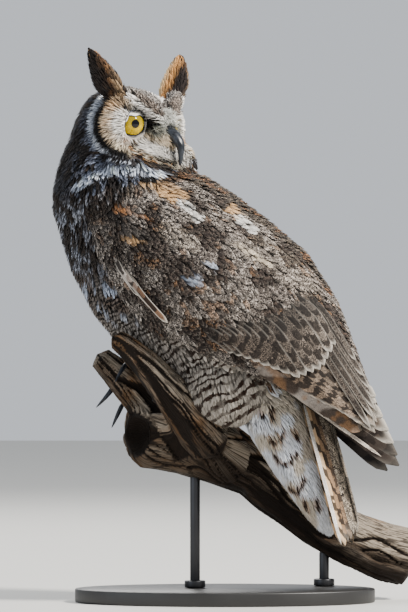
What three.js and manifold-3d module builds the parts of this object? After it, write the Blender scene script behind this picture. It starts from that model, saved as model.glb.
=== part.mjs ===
// Great horned owl gripping a broken limb, carried by a display stand.
// Millimetres, +Z up. The owl's breast looks towards -X, its left side towards -Y and its tail
// towards +X. The origin is the middle of the stand's underside.
import * as THREE from "three";
import { mergeVertices } from "three/addons/utils/BufferGeometryUtils.js";
import Module from "manifold-3d";

const wasm = await Module();
wasm.setup();

// ---------------------------------------------------------------- driving dimensions
const GAP = 0.3; // clearance between touching solids
const SLIVER = 0.1; // facets finer than this are merged after a cut
const BODY_YAW = -12; // degrees: the tail swings towards -Y
const YAW_PIVOT_X = -60; // the upright axis the body is turned about, over the feet
const HEAD_CENTRE = [-98, 4, 474]; // between the eyes, at the middle of the skull
const HEAD_YAW = -38; // degrees from +X: the head looks back over the left shoulder
const EYE = { forward: 25, aside: 27, up: 4, radius: 14.5 };
const TUFT = { height: 47, splay: 29, sweep: 11, halfWidth: 19, halfThickness: 5 };
const BILL = { halfWidth: 8.5, drop: 33, reach: 70 };
const WING = { shell: 9, hollowStart: 20, middle: [20, 300], halfLength: 50 };
const PRIMARIES = { reach: 179, width: 34, tips: 6, tipStep: 7.5, tipRecede: 7, tipSpread: 1.25, thickness: 5 };
const BEYOND = { aside: 120, end: 220, low: 100, high: 400 }; // past every feather of a wing
const BACK = { from: -60, to: 178, frontHalf: 50, rearHalf: 5, depth: 200, tilt: 40, at: [-66, 0, 372] };
const FAR_WING = { forward: 14, drop: 5 }; // the far wing is held a little further forward and lower
const TAIL = { feathers: 6, length: 165, rootWidth: 17, tipWidth: 42, thickness: 4 };
const TALON = { length: 27, rootRadius: 3.4, straight: 0.42, turn: 0.16, hook: 0.66 }; // shares of the length
const BASE = { halfLength: 150, halfDepth: 88, thickness: 14, edge: 3 };
const ROD = { radius: 5, front: [-30, 6, 150], rear: [100, 38, 70] }; // x, y and the height each ends at
const HOLLOW_RADIUS = 20;

// ---------------------------------------------------------------- solids from three.js meshes
/** A closed three.js geometry as a manifold-3d solid. */
function solidOf(geometry) {
  const bare = new THREE.BufferGeometry();
  bare.setAttribute("position", geometry.getAttribute("position"));
  if (geometry.index) bare.setIndex(geometry.index);
  const merged = mergeVertices(bare, 1e-4);
  return new wasm.Manifold(
    new wasm.Mesh({
      numProp: 3,
      vertProperties: new Float32Array(merged.attributes.position.array),
      triVerts: new Uint32Array(merged.index.array),
    }),
  );
}

/** A solid as a three.js geometry. Only its largest body is kept. */
function geometryOf(solid) {
  const bodies = solid.simplify(SLIVER).decompose().sort((a, b) => b.volume() - a.volume());
  const mesh = bodies[0].getMesh();
  const places = new Float32Array(mesh.numVert * 3);
  for (let i = 0; i < mesh.numVert; i++) {
    const from = i * mesh.numProp;
    places.set(mesh.vertProperties.subarray(from, from + 3), i * 3);
  }
  const geometry = new THREE.BufferGeometry();
  geometry.setAttribute("position", new THREE.BufferAttribute(places, 3));
  geometry.setIndex(new THREE.BufferAttribute(new Uint32Array(mesh.triVerts), 1));
  geometry.computeVertexNormals();
  return geometry;
}

/** All of these solids as one. */
function joined(...solids) {
  return solids.reduce((whole, next) => whole.add(next));
}

/** solid with its neighbours taken out of it. */
function clearOf(solid, ...neighbours) {
  return neighbours.reduce((left, other) => left.subtract(other), solid);
}

/**
 * A sphere's rings laid along a smooth line, so that each is an oval of its own size.
 * stations: [x, y, z, halfWidth, front, back] in order along the line.
 * side: the direction of halfWidth. back is towards tangent x side, and front is the other way, so
 * on a line that runs downwards front is the -X side and back the +X side.
 * caps: the share of the line that rounds off at each end. square: 2 is an oval, more is boxier.
 */
function form(stations, options = {}, grow = 0) {
  const { side = [0, 1, 0], around = 14, along = 10, caps = [0.2, 0.2], square = 2 } = options;
  const line = new THREE.CatmullRomCurve3(stations.map((s) => new THREE.Vector3(s[0], s[1], s[2])));
  const radii = new THREE.CatmullRomCurve3(stations.map((s) => new THREE.Vector3(s[3], s[4], s[5])));
  const geometry = new THREE.SphereGeometry(1, around, along);
  const place = geometry.getAttribute("position");
  const uv = geometry.getAttribute("uv");
  const wanted = new THREE.Vector3(...side);
  const soft = (x) => Math.sign(x) * Math.pow(Math.abs(x), 2 / square);
  for (let i = 0; i < place.count; i++) {
    const v = 1 - uv.getY(i);
    const t = THREE.MathUtils.lerp(v, (1 - Math.cos(Math.PI * v)) / 2, 0.6);
    const angle = uv.getX(i) * 2 * Math.PI;
    const centre = line.getPoint(t);
    const tangent = line.getTangent(t);
    const across = wanted.clone().addScaledVector(tangent, -wanted.dot(tangent)).normalize();
    const deep = new THREE.Vector3().crossVectors(tangent, across);
    const r = radii.getPoint(t);
    const start = t < caps[0] ? Math.sqrt(Math.max(0, 1 - (1 - t / caps[0]) ** 2)) : 1;
    const end = 1 - t < caps[1] ? Math.sqrt(Math.max(0, 1 - (1 - (1 - t) / caps[1]) ** 2)) : 1;
    const full = v < 1e-6 || v > 1 - 1e-6 ? 0 : start * end;
    const w = Math.max(0.4, r.x + grow) * full;
    const d = Math.max(0.4, (Math.sin(angle) > 0 ? r.z : r.y) + grow) * full;
    centre.addScaledVector(across, -soft(Math.cos(angle)) * w);
    centre.addScaledVector(deep, soft(Math.sin(angle)) * d);
    if (v < 1e-6) centre.addScaledVector(tangent, -grow);
    if (v > 1 - 1e-6) centre.addScaledVector(tangent, grow);
    place.setXYZ(i, centre.x, centre.y, centre.z);
  }
  return solidOf(geometry);
}

/** An oval blob at a place. */
function blob(at, radii, turnZ = 0, grow = 0, around = 10) {
  const geometry = new THREE.SphereGeometry(1, around, Math.round(around * 0.7));
  geometry.scale(radii[0] + grow, radii[1] + grow, radii[2] + grow);
  geometry.rotateZ(THREE.MathUtils.degToRad(turnZ));
  geometry.translate(...at);
  return solidOf(geometry);
}

/** A flat outline in X and Z, made thick along Y. */
function slab(points, fromY, toY) {
  const shape = new THREE.Shape(points.map((p) => new THREE.Vector2(p[0], p[1])));
  const geometry = new THREE.ExtrudeGeometry(shape, { depth: toY - fromY, bevelEnabled: false });
  geometry.rotateX(Math.PI / 2);
  geometry.translate(0, toY, 0);
  return solidOf(geometry);
}

/** Body frame to world: the body is turned about its upright pivot. */
function turned(solid) {
  return solid
    .translate([-YAW_PIVOT_X, 0, 0])
    .rotate([0, 0, BODY_YAW])
    .translate([YAW_PIVOT_X, 0, 0]);
}

/** Head frame to world: local +X is where the bill points, +Y the owl's left. */
function headed(solid) {
  return solid.rotate([0, 0, HEAD_YAW]).translate(HEAD_CENTRE);
}

/** The same solid on the owl's other side. */
function mirrored(solid) {
  return solid.mirror([0, 1, 0]);
}

// ---------------------------------------------------------------- trunk and wings, body frame
const TRUNK_LINE = [
  [-104, 0, 440, 58, 66, 48],
  [-98, 0, 402, 71, 79, 62],
  [-60, 0, 344, 74, 92, 78],
  [-19, 0, 282, 70, 84, 92],
  [20, 0, 222, 54, 52, 74],
  [45, 0, 187, 36, 26, 42],
];
const COVER_LINE = [
  [-112, 0, 418, 66, 58, 56],
  [-84, 0, 378, 84, 84, 80],
  [-42, 0, 332, 89, 98, 94],
  [10, 0, 277, 83, 92, 104],
  [68, 0, 217, 62, 70, 84],
  [126, 0, 170, 40, 46, 43],
  [172, 0, 138, 22, 16, 13],
];
const trunkForm = (grow = 0) => turned(form(TRUNK_LINE, { around: 15, along: 9, caps: [0.1, 0.16] }, grow));
const coverForm = (grow = 0) => form(COVER_LINE, { around: 16, along: 12, caps: [0.12, 0.1] }, grow);

// Side outline of a closed wing: bend of the wing, lower edge, then the rounded feather tips.
const WING_EDGE = [
  [-124, 400], [-122, 372], [-112, 345], [-92, 308], [-66, 274], [-50, 263], [-34, 264],
  [-6, 248], [30, 236], [70, 212], [108, 186], [136, 168], [147, 170], [144, 182], [156, 188],
  [152, 200], [162, 212], [153, 226], [152, 340], [60, 480], [-80, 480],
];

/** The back between the two wings: a wedge that narrows from the shoulders to the rump. */
function backWedge(grow = 0) {
  const front = BACK.frontHalf + grow;
  const rear = BACK.rearHalf + grow;
  const shape = new THREE.Shape([
    new THREE.Vector2(BACK.from, -front),
    new THREE.Vector2(BACK.to + grow, -rear),
    new THREE.Vector2(BACK.to + grow, rear),
    new THREE.Vector2(BACK.from, front),
  ]);
  const geometry = new THREE.ExtrudeGeometry(shape, { depth: BACK.depth, bevelEnabled: false });
  geometry.rotateY(THREE.MathUtils.degToRad(BACK.tilt));
  geometry.translate(...BACK.at);
  return solidOf(geometry);
}

/** Wing coverts and secondaries on the owl's left side, as a shell over the trunk. */
function wingShell(grow = 0) {
  const [midX, midZ] = WING.middle;
  const scale = 1 + grow / WING.halfLength;
  const edge = WING_EDGE.map(([x, z]) => [midX + (x - midX) * scale, midZ + (z - midZ) * scale]);
  const start = WING.hollowStart + grow;
  const { aside, end, low, high } = BEYOND;
  const rear = slab([[start, low], [end, low], [end, high], [start, high]], -aside, aside);
  const shell = coverForm(grow).intersect(slab(edge, -aside, grow - GAP / 2));
  return clearOf(shell, coverForm(-WING.shell - grow).intersect(rear), backWedge(GAP));
}

/** A flat piece: outline points [u, w] laid on the plane through origin along eu and ew. */
function plate(points, origin, eu, ew, thickness) {
  const shape = new THREE.Shape(points.map((p) => new THREE.Vector2(p[0], p[1])));
  const geometry = new THREE.ExtrudeGeometry(shape, { depth: thickness, bevelEnabled: false });
  const u = new THREE.Vector3(...eu).normalize();
  const w = new THREE.Vector3(...ew).normalize();
  const n = new THREE.Vector3().crossVectors(u, w).normalize();
  geometry.translate(0, 0, -thickness / 2);
  geometry.applyMatrix4(new THREE.Matrix4().makeBasis(u, w, n).setPosition(...origin));
  return solidOf(geometry);
}

/** Long outer flight feathers of one closed wing, their rounded tips stepped up the trailing edge. */
function primaries({ forward = 0, drop = 0 } = {}) {
  const { reach: longest, tipStep, tipRecede, tipSpread } = PRIMARIES;
  const outline = [[0, PRIMARIES.width], [0, 0], [longest * 0.5, -3], [longest - 14, -1]];
  for (let k = 0; k < PRIMARIES.tips; k++) {
    const reach = longest - tipRecede * k ** tipSpread;
    const w = tipStep * k;
    outline.push([reach - 5, w], [reach, w + 2.5], [reach - 3, w + 5.5], [reach - 9, w + 6.5]);
  }
  const root = [37 - forward, -50, 240 - drop / 2];
  return plate(outline, root, [141, 34, -103 - drop], [0.5, 0.2, 0.84], PRIMARIES.thickness);
}

// ---------------------------------------------------------------- tail, body frame
/** One slope of the tail's roof, with a rounded tip for each feather. hand: -1 near side, 1 far. */
function tailSlope(hand) {
  const outline = [[0, 0], [0, TAIL.rootWidth], [TAIL.length - 8, TAIL.tipWidth]];
  const step = TAIL.tipWidth / TAIL.feathers;
  for (let i = TAIL.feathers - 1; i >= 0; i--) {
    const w = step * i;
    outline.push([TAIL.length - 1, w + step * 0.75], [TAIL.length, w + step * 0.4], [TAIL.length - 7, w]);
  }
  const solid = plate(outline, [90, -0.8, 232], [0.277, 0, -0.961], [-11, -35, -20], TAIL.thickness);
  return hand < 0 ? solid : mirrored(solid);
}

const tailFan = () => joined(tailSlope(-1), tailSlope(1));

/** Soft feathers that fill the space under the tail. */
function underTail(grow = 0) {
  return form(
    [
      [26, 0, 218, 36, 20, 42],
      [44, 0, 184, 37, 22, 40],
      [64, 0, 148, 35, 20, 37],
      [86, 0, 108, 30, 14, 28],
      [109, 0, 66, 18, 7, 14],
    ],
    { around: 12, along: 9, caps: [0.2, 0.16] },
    grow,
  );
}

// ---------------------------------------------------------------- legs and feet, world frame
const LEGS = [
  {
    name: "left",
    thigh: [[-30, -44, 262], [2, -50, 218], [14, -46, 176]],
    thighSize: [[24, 24, 22], [30, 42, 42], [22, 27, 27]],
    shank: [[0, -42, 205], [-18, -30, 214], [-33, -17, 222]],
    pocket: { at: [-34, -15, 216], radii: [44, 32, 32] },
    toes: [
      { line: [[-34, -18, 224], [-48, -22, 232], [-54, -22, 226]], talon: [-10, -1, -16] },
      { line: [[-34, -12, 224], [-50, -4, 226], [-60, -2, 218]], talon: [-12, 2, -14] },
      { line: [[-32, -18, 222], [-26, -23, 212], [-26, -26, 202]], talon: [0, -1, -16] },
      { line: [[-32, -12, 222], [-18, -3, 216], [-12, 0, 206]], talon: [8, 2, -14] },
    ],
  },
  {
    name: "right",
    thigh: [[-58, 40, 284], [-46, 48, 262], [-50, 42, 234]],
    thighSize: [[20, 22, 22], [25, 27, 27], [18, 20, 20]],
    shank: [[-52, 40, 250], [-66, 34, 243], [-80, 26, 240]],
    pocket: { at: [-86, 18, 228], radii: [42, 36, 40] },
    toes: [
      { line: [[-82, 22, 240], [-100, 20, 232], [-110, 10, 217]], talon: [-15, -3, -16] },
      { line: [[-80, 24, 238], [-92, 26, 220], [-101, 16, 201]], talon: [-10, -4, -22] },
      { line: [[-80, 20, 240], [-92, 4, 245], [-97, -8, 240]], talon: [-8, -8, -15] },
      { line: [[-78, 24, 238], [-66, 24, 226], [-60, 20, 214]], talon: [5, -6, -16] },
    ],
  },
];

/** A rounded limb of flesh through three points. sizes: [halfWidth, front, back] at each. */
function limbForm(points, sizes, grow = 0, options = {}) {
  const stations = points.map((p, i) => [...p, ...sizes[i]]);
  return form(stations, { around: 10, along: 7, caps: [0.3, 0.3], ...options }, grow);
}

/** A feathered foot: a pad with its four toes. */
function footForm(leg, grow = 0) {
  const toes = leg.toes.map((toe) =>
    limbForm(toe.line, [[9, 9, 9], [7.5, 7.5, 7.5], [6, 6, 6]], grow, { around: 6, along: 4 }),
  );
  const pad = blob(leg.toes[0].line[0], [13, 13, 11], 0, grow, 8);
  return joined(pad, ...toes);
}

/** One curved claw from the end of a toe. */
function talonForm(toe, grow = 0) {
  const root = new THREE.Vector3(...toe.line[2]);
  const from = root.clone().sub(new THREE.Vector3(...toe.line[1])).normalize();
  const down = new THREE.Vector3(...toe.talon).normalize();
  const bend = root.clone().addScaledVector(from, TALON.length * TALON.straight);
  bend.addScaledVector(down, TALON.length * TALON.turn);
  const tip = bend.clone().addScaledVector(down, TALON.length * TALON.hook);
  const r = TALON.rootRadius;
  return form(
    [
      [...root.toArray(), r, r, r],
      [...bend.toArray(), r * 0.72, r * 0.8, r * 0.8],
      [...tip.toArray(), 0.4, 0.4, 0.4],
    ],
    { side: [0.1, 1, 0.1], around: 5, along: 5, caps: [0.25, 0.1] },
    grow,
  );
}

// ---------------------------------------------------------------- head, head frame
const SKULL_LINE = [
  [0, 0, 42, 30, 26, 28],
  [-1, 0, 27, 45, 36, 37],
  [-1, 0, 6, 55, 47, 40],
  [0, 0, -16, 60, 57, 42],
  [0, 0, -38, 64, 67, 44],
  [0, 0, -62, 62, 69, 44],
];
function skullForm(grow = 0) {
  return form(SKULL_LINE, { around: 14, along: 9, caps: [0.24, 0.2], square: 2.2 }, grow);
}

/** The ridge over each eye that runs from the bill out to the ear tuft. */
function browForm(hand, grow = 0) {
  return form(
    [
      [47, hand * 4, 3, 8, 7, 8],
      [43, hand * 20, 21, 8, 7, 8],
      [30, hand * 40, 30, 9, 9, 10],
      [14, hand * 50, 30, 10, 10, 10],
    ],
    { side: [1, 0, 0], around: 6, along: 6, caps: [0.2, 0.2] },
    grow,
  );
}

/** Bristly feathers that run down each side of the bill, and the chin under it. */
function muzzleForm(grow = 0) {
  return form(
    [
      [38, 0, 18, 10, 10, 12],
      [46, 0, 2, 13, 14, 12],
      [48, 0, -18, 20, 12, 12],
      [46, 0, -36, 26, 12, 16],
      [38, 0, -52, 26, 12, 20],
    ],
    { around: 8, along: 7, caps: [0.2, 0.25] },
    grow,
  );
}

const eyeAt = (hand) => [EYE.forward, hand * EYE.aside, EYE.up];

function eyeForm(hand, grow = 0) {
  return blob(eyeAt(hand), [EYE.radius, EYE.radius, EYE.radius], 0, grow, 10);
}

/** The dish round each eye, hollowed into the face. */
function dishForm(hand) {
  return blob([52, hand * 33, -4], [20, 23, 27], hand * 28, 0, 8);
}

/** Half of the facial disc, that stands out round the dish, with the ruff below it. */
function discForm(hand, grow = 0) {
  return joined(
    blob([21, hand * 39, -4], [18, 27, 37], hand * 28, grow, 9),
    blob([32, hand * 36, -36], [23, 29, 27], hand * 20, grow, 8),
  );
}

/** Upper bill: a hooked ridge that hangs from the brow. */
function billForm(grow = 0) {
  const w = BILL.halfWidth;
  return form(
    [
      [46, 0, -1, w, 8, 6],
      [BILL.reach - 10, 0, -8, w * 0.85, 7, 6],
      [BILL.reach - 1, 0, -20, w * 0.55, 5, 4.5],
      [BILL.reach - 3, 0, -2 - BILL.drop, 1, 1, 1],
    ],
    { around: 8, along: 8, caps: [0.2, 0.12] },
    grow,
  );
}

/** Lower bill, closed against the upper one. */
function lowerBillForm(grow = 0) {
  return form(
    [
      [44, 0, -20, 6, 4, 4],
      [54, 0, -23, 5.5, 3.5, 3],
      [62, 0, -27, 2.5, 2, 1.6],
    ],
    { around: 6, along: 5, caps: [0.2, 0.2] },
    grow,
  );
}

/** Ear tuft: a tall leaf of feathers at the outer end of the brow. */
function tuftForm(hand, grow = 0) {
  const base = [21, hand * 44, 26];
  const lean = (share, out) => [
    base[0] - TUFT.sweep * share,
    base[1] + hand * (TUFT.splay * share + out),
    base[2] + 4 + TUFT.height * share,
  ];
  const w = TUFT.halfWidth;
  const t = TUFT.halfThickness;
  return form(
    [
      [...lean(-0.1, 0), w * 0.9, t * 1.6, t * 1.6],
      [...lean(0.3, 1), w, t * 1.3, t * 1.3],
      [...lean(0.66, 0), w * 0.66, t, t],
      [...lean(1, 0), w * 0.2, t * 0.3, t * 0.3],
    ],
    { side: [1, 0, 0], around: 8, along: 8, caps: [0.15, 0.12] },
    grow,
  );
}

// ---------------------------------------------------------------- perch and stand, world frame
const LIMB_LINE = [
  [196, 50, 40, 31, 30, 31],
  [155, 44, 50, 29, 28, 29],
  [105, 38, 72, 27, 26, 27],
  [65, 30, 99, 26, 25, 26],
  [27, 20, 130, 28, 27, 28],
  [-13, 10, 153, 34, 34, 34],
  [-50, 4, 166, 38, 42, 36],
  [-80, 0, 168, 36, 38, 36],
  [-101, -6, 168, 28, 28, 30],
];
const SPIKE_LINE = [
  [-4, -14, 146, 24, 24, 26],
  [-38, -42, 188, 22, 21, 23],
  [-70, -54, 228, 16, 18, 18],
  [-97, -56, 255, 10, 12, 12],
  [-113, -56, 267, 8, 9, 9],
];
const RIDGE_LINE = [
  [-14, 0, 158, 20, 22, 22],
  [-44, -14, 200, 14, 15, 15],
  [-62, -28, 228, 10, 11, 11],
  [-76, -34, 250, 6, 6, 6],
];
const STUB_LINE = [
  [-62, 4, 180, 26, 26, 24],
  [-92, 4, 212, 20, 20, 18],
  [-116, 0, 236, 14, 14, 13],
  [-128, -2, 248, 10, 11, 11],
];
function perchForm(grow = 0) {
  const limb = form(LIMB_LINE, { around: 11, along: 12, caps: [0.02, 0.1] }, grow);
  const spike = form(SPIKE_LINE, { around: 8, along: 7, caps: [0.1, 0.06] }, grow);
  const ridge = form(RIDGE_LINE, { around: 8, along: 6, caps: [0.1, 0.06] }, grow);
  const stub = form(STUB_LINE, { around: 8, along: 6, caps: [0.1, 0.04] }, grow);
  return joined(limb, spike, ridge, stub);
}

/** The rotted knot at the limb's end, open towards the left and the front. */
function knotHollow() {
  const r = HOLLOW_RADIUS;
  return form(
    [
      [-122, -46, 166, r, r, r + 3],
      [-100, -26, 167, r, r, r + 2],
      [-74, -2, 168, r * 0.7, r * 0.7, r * 0.7],
    ],
    { side: [0.8, -0.6, 0], around: 10, along: 6, caps: [0.1, 0.3] },
  );
}

/** The stand's flat base, with a softened rim, resting on the floor. */
function baseForm() {
  const rim = new THREE.Shape();
  const { halfLength: a, halfDepth: b, thickness, edge } = BASE;
  rim.absellipse(0, 0, a - edge, b - edge, 0, 2 * Math.PI, false);
  const geometry = new THREE.ExtrudeGeometry(rim, {
    depth: thickness - 2 * edge,
    bevelEnabled: true,
    bevelThickness: edge,
    bevelSize: edge,
    bevelSegments: 1,
    curveSegments: 15,
  });
  geometry.translate(0, 0, edge);
  return solidOf(geometry);
}

/** An upright rod from inside its seat on the base up into the limb. */
function rodForm([x, y, top]) {
  const geometry = new THREE.CylinderGeometry(ROD.radius, ROD.radius, top - BASE.thickness, 16);
  geometry.rotateX(Math.PI / 2);
  geometry.translate(x, y, (top + BASE.thickness) / 2 + GAP);
  return solidOf(geometry);
}

// ---------------------------------------------------------------- assembly
const feather = (r, g, b) => new THREE.MeshStandardMaterial({ color: new THREE.Color(r, g, b), roughness: 0.85 });
const FINISH = {
  back: feather(0.2, 0.15, 0.11),
  breast: feather(0.36, 0.3, 0.24),
  face: feather(0.52, 0.4, 0.27),
  white: feather(0.75, 0.73, 0.7),
  leg: feather(0.6, 0.52, 0.42),
  eye: new THREE.MeshStandardMaterial({ color: new THREE.Color(0.75, 0.6, 0.04), roughness: 0.05 }),
  horn: new THREE.MeshStandardMaterial({ color: new THREE.Color(0.04, 0.045, 0.055), roughness: 0.3 }),
  wood: new THREE.MeshStandardMaterial({ color: new THREE.Color(0.3, 0.22, 0.15), roughness: 0.9 }),
  stand: new THREE.MeshStandardMaterial({ color: new THREE.Color(0.05, 0.05, 0.05), roughness: 0.4 }),
};

const owl = new THREE.Group();
const bird = new THREE.Group();
const mount = new THREE.Group();
owl.add(bird, mount);

/** Adds a named mesh for a solid. */
function addPart(group, name, solid, finish) {
  const mesh = new THREE.Mesh(geometryOf(solid), finish);
  mesh.name = name;
  group.add(mesh);
  return solid;
}

const perch = clearOf(perchForm(), knotHollow());
const perchRoom = clearOf(perchForm(GAP), knotHollow());
addPart(mount, "perch", perch, FINISH.wood);
addPart(mount, "stand_base", baseForm(), FINISH.stand);
addPart(mount, "stand_rod_front", clearOf(rodForm(ROD.front), perchRoom), FINISH.stand);
addPart(mount, "stand_rod_rear", clearOf(rodForm(ROD.rear), perchRoom), FINISH.stand);

// Eyes, bill and talons come first: the flesh is cut to leave room for them.
const hands = [["left", 1], ["right", -1]];
for (const [word, hand] of hands) addPart(bird, `eye_${word}`, headed(eyeForm(hand)), FINISH.eye);
const upperBill = addPart(bird, "bill_upper", headed(billForm()), FINISH.horn);
const upperBillRoom = headed(billForm(GAP));
addPart(bird, "bill_lower", clearOf(headed(lowerBillForm()), upperBillRoom), FINISH.horn);
const faceRoom = joined(
  upperBillRoom,
  headed(lowerBillForm(GAP)),
  headed(eyeForm(1, GAP)),
  headed(eyeForm(-1, GAP)),
);

// Head, neck and trunk are one form, parted by thin cuts. A cut is [normal, offset].
const CHIN_CUT = [[0.177, 0, 0.984], 414];
const SHOULDER_CUT = [[-0.21, 0, 0.978], 423];
const NECK_LINE = [
  [-96, 6, 470, 50, 50, 50],
  [-100, 4, 438, 62, 66, 64],
  [-99, 2, 404, 73, 75, 72],
  [-92, 0, 372, 66, 62, 60],
];
const above = (solid, [normal, offset]) => solid.trimByPlane(normal, offset + GAP / 2);
const below = (solid, [normal, offset]) => solid.trimByPlane(normal.map((x) => -x), GAP / 2 - offset);
const neckColumn = (grow = 0) => form(NECK_LINE, { around: 14, along: 7, caps: [0.2, 0.3] }, grow);
const headWhole = (grow) =>
  joined(
    headed(clearOf(joined(skullForm(grow), discForm(1, grow), discForm(-1, grow)), dishForm(1), dishForm(-1))),
    headed(browForm(1, grow)),
    headed(browForm(-1, grow)),
    headed(muzzleForm(grow)),
  );
const mantle = (grow = 0) => turned(coverForm(grow).intersect(backWedge(grow)));
const NECK_CUT = [[0, 0, 1], 360]; // the neck column goes no lower inside the trunk
const body = joined(trunkForm(), above(neckColumn(), NECK_CUT), headWhole(0));
addPart(bird, "head", clearOf(above(body, CHIN_CUT), faceRoom, mantle(GAP)), FINISH.face);
const headRoom = headWhole(GAP);
for (const [word, hand] of hands) {
  addPart(bird, `ear_tuft_${word}`, clearOf(headed(tuftForm(hand)), headRoom), FINISH.back);
}
const lower = below(body, CHIN_CUT);
addPart(bird, "neck", clearOf(above(lower, SHOULDER_CUT), faceRoom, mantle(GAP)), FINISH.breast);
const bodyCore = joined(trunkForm(GAP), neckColumn(GAP), headRoom, perchRoom);

// Legs and feet grip the perch. Each gives way to what it touches.
const shankSizes = [[15, 15, 15], [13, 13, 13], [12, 12, 12]];
const legRooms = [];
for (const leg of LEGS) {
  const footRoom = footForm(leg, GAP);
  leg.toes.forEach((toe, i) => {
    addPart(bird, `talon_${leg.name}_${i + 1}`, clearOf(talonForm(toe), footRoom, perchRoom), FINISH.horn);
  });
  addPart(bird, `foot_${leg.name}`, clearOf(footForm(leg), perchRoom), FINISH.leg);
  const talonRoom = joined(...leg.toes.map((toe) => talonForm(toe, GAP)));
  const shank = clearOf(limbForm(leg.shank, shankSizes), footRoom, perchRoom, talonRoom);
  addPart(bird, `shank_${leg.name}`, shank, FINISH.leg);
  const pocket = blob(leg.pocket.at, leg.pocket.radii);
  const shankRoom = joined(limbForm(leg.shank, shankSizes, GAP), pocket, talonRoom);
  const thigh = clearOf(limbForm(leg.thigh, leg.thighSize), shankRoom, perchRoom);
  addPart(bird, `thigh_${leg.name}`, thigh, FINISH.leg);
  legRooms.push(shankRoom, limbForm(leg.thigh, leg.thighSize, GAP));
}
const trunk = clearOf(joined(below(lower, SHOULDER_CUT), mantle()), perchRoom, ...legRooms);
addPart(bird, "trunk", trunk, FINISH.breast);

// Tail under the wing tips.
const bodyRoom = joined(trunkForm(GAP), mantle(GAP), perchRoom, ...legRooms);
const softTail = clearOf(turned(underTail()), bodyRoom);
const softTailRoom = turned(underTail(GAP));
addPart(bird, "tail_coverts", softTail, FINISH.white);
const tail = clearOf(turned(tailFan()), bodyRoom, softTailRoom);
addPart(bird, "tail_feathers", tail, FINISH.back);
const tailRoom = joined(turned(tailFan()), softTailRoom);

// Wings.
const wings = [
  { word: "left", shell: turned(wingShell()), room: turned(wingShell(GAP)), blades: turned(primaries()) },
  {
    word: "right",
    shell: turned(mirrored(wingShell())),
    room: turned(mirrored(wingShell(GAP))),
    blades: turned(mirrored(primaries(FAR_WING))),
  },
];
for (const { word, shell, room, blades } of wings) {
  const coverts = clearOf(shell, bodyCore, mantle(GAP), ...legRooms, tailRoom);
  addPart(bird, `wing_${word}_coverts`, coverts, FINISH.back);
  addPart(bird, `wing_${word}_primaries`, clearOf(blades, room, bodyRoom, tailRoom), FINISH.back);
}

export default owl;
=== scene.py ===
"""Looks of a life-size great horned owl on a cut limb, held by a plain display stand.

The owl's skin is one mesh made from the frame's nodes of flesh. Its plumage is solid mesh: short
tracts that are walked over the skin in the lie of the coat, and long flight feathers set one by one.
"""

import logging
import math
from collections.abc import Callable, Iterable, Iterator, Sequence
from contextlib import contextmanager
from dataclasses import dataclass, field
from enum import Enum, auto

import bpy
import numpy as np
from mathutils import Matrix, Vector
from mathutils.bvhtree import BVHTree
from mathutils.kdtree import KDTree


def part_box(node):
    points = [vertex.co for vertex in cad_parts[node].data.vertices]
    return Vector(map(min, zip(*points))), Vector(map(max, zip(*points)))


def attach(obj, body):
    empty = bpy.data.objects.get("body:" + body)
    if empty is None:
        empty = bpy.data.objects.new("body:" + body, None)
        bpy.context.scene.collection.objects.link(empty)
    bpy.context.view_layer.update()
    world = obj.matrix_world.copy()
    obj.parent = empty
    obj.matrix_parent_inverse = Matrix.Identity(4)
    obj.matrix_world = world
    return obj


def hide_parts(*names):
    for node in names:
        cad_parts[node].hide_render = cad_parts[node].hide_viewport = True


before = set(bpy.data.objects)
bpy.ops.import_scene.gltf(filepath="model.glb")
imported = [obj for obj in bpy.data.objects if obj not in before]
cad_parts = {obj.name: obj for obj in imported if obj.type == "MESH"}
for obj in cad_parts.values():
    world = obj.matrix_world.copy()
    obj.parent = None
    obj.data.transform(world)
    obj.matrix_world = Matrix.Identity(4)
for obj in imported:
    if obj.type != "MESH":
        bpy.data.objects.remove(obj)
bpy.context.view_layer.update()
log = logging.getLogger("owl")
MM = 0.001
BODY = "root"
HANDS = {"left": 1, "right": -1}  # the owl's own sides, as Y runs in the head frame
Array = np.ndarray


# ---- small maths
def tint(red: float, green: float, blue: float) -> Array:
    """A surface colour that looks, in strong light, like these display values of 0 to 255.

    Args:
        red: 0 to 255.
        green: 0 to 255.
        blue: 0 to 255.

    Returns:
        The colour for a shader.
    """
    value = np.array([red, green, blue]) / 255
    linear = np.where(value <= 0.04045, value / 12.92, ((value + 0.055) / 1.055) ** 2.4)
    return linear * (0.6 + 0.5 * linear**0.7)


def ramp(value: Array, start: float, end: float) -> Array:
    """0 before start, 1 after end and smooth between; start may be the larger."""
    t = np.clip((value - start) / (end - start), 0, 1)
    return t * t * (3 - 2 * t)


def unit(vectors: Array) -> Array:
    """Vectors made one long."""
    return vectors / np.maximum(np.linalg.norm(vectors, axis=-1, keepdims=True), 1e-12)


def flat_on(vectors: Array, normals: Array) -> Array:
    """Unit vectors with what points along the normals taken out."""
    return unit(vectors - normals * np.sum(vectors * normals, axis=-1, keepdims=True))


def blend(low: Sequence[float], high: Sequence[float], share: Array) -> Array:
    """low where share is 0 and high where it is 1, for colours or vectors."""
    return low + np.subtract(high, low) * np.asarray(share)[..., None]


def hashed(points: Array, cell: float, seed: int = 0) -> Array:
    """Smooth value noise from 0 to 1 with blotches about a cell across.

    Args:
        points: places in any unit.
        cell: the cell, in the same unit.
        seed: picks another noise.

    Returns:
        One number for each place.
    """
    scaled = points / cell + 37.7 * (seed + 1)
    base = np.floor(scaled)
    part = scaled - base
    part = part * part * (3 - 2 * part)
    total = np.zeros(len(points))
    for corner in np.ndindex(2, 2, 2):
        spot = base + corner
        raw = np.sin(spot @ np.array([127.1, 311.7, 74.7]) + seed * 17.3) * 43758.5453
        weight = np.prod(np.where(np.array(corner) == 1, part, 1 - part), axis=1)
        total += weight * (raw - np.floor(raw))
    return total


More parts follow.
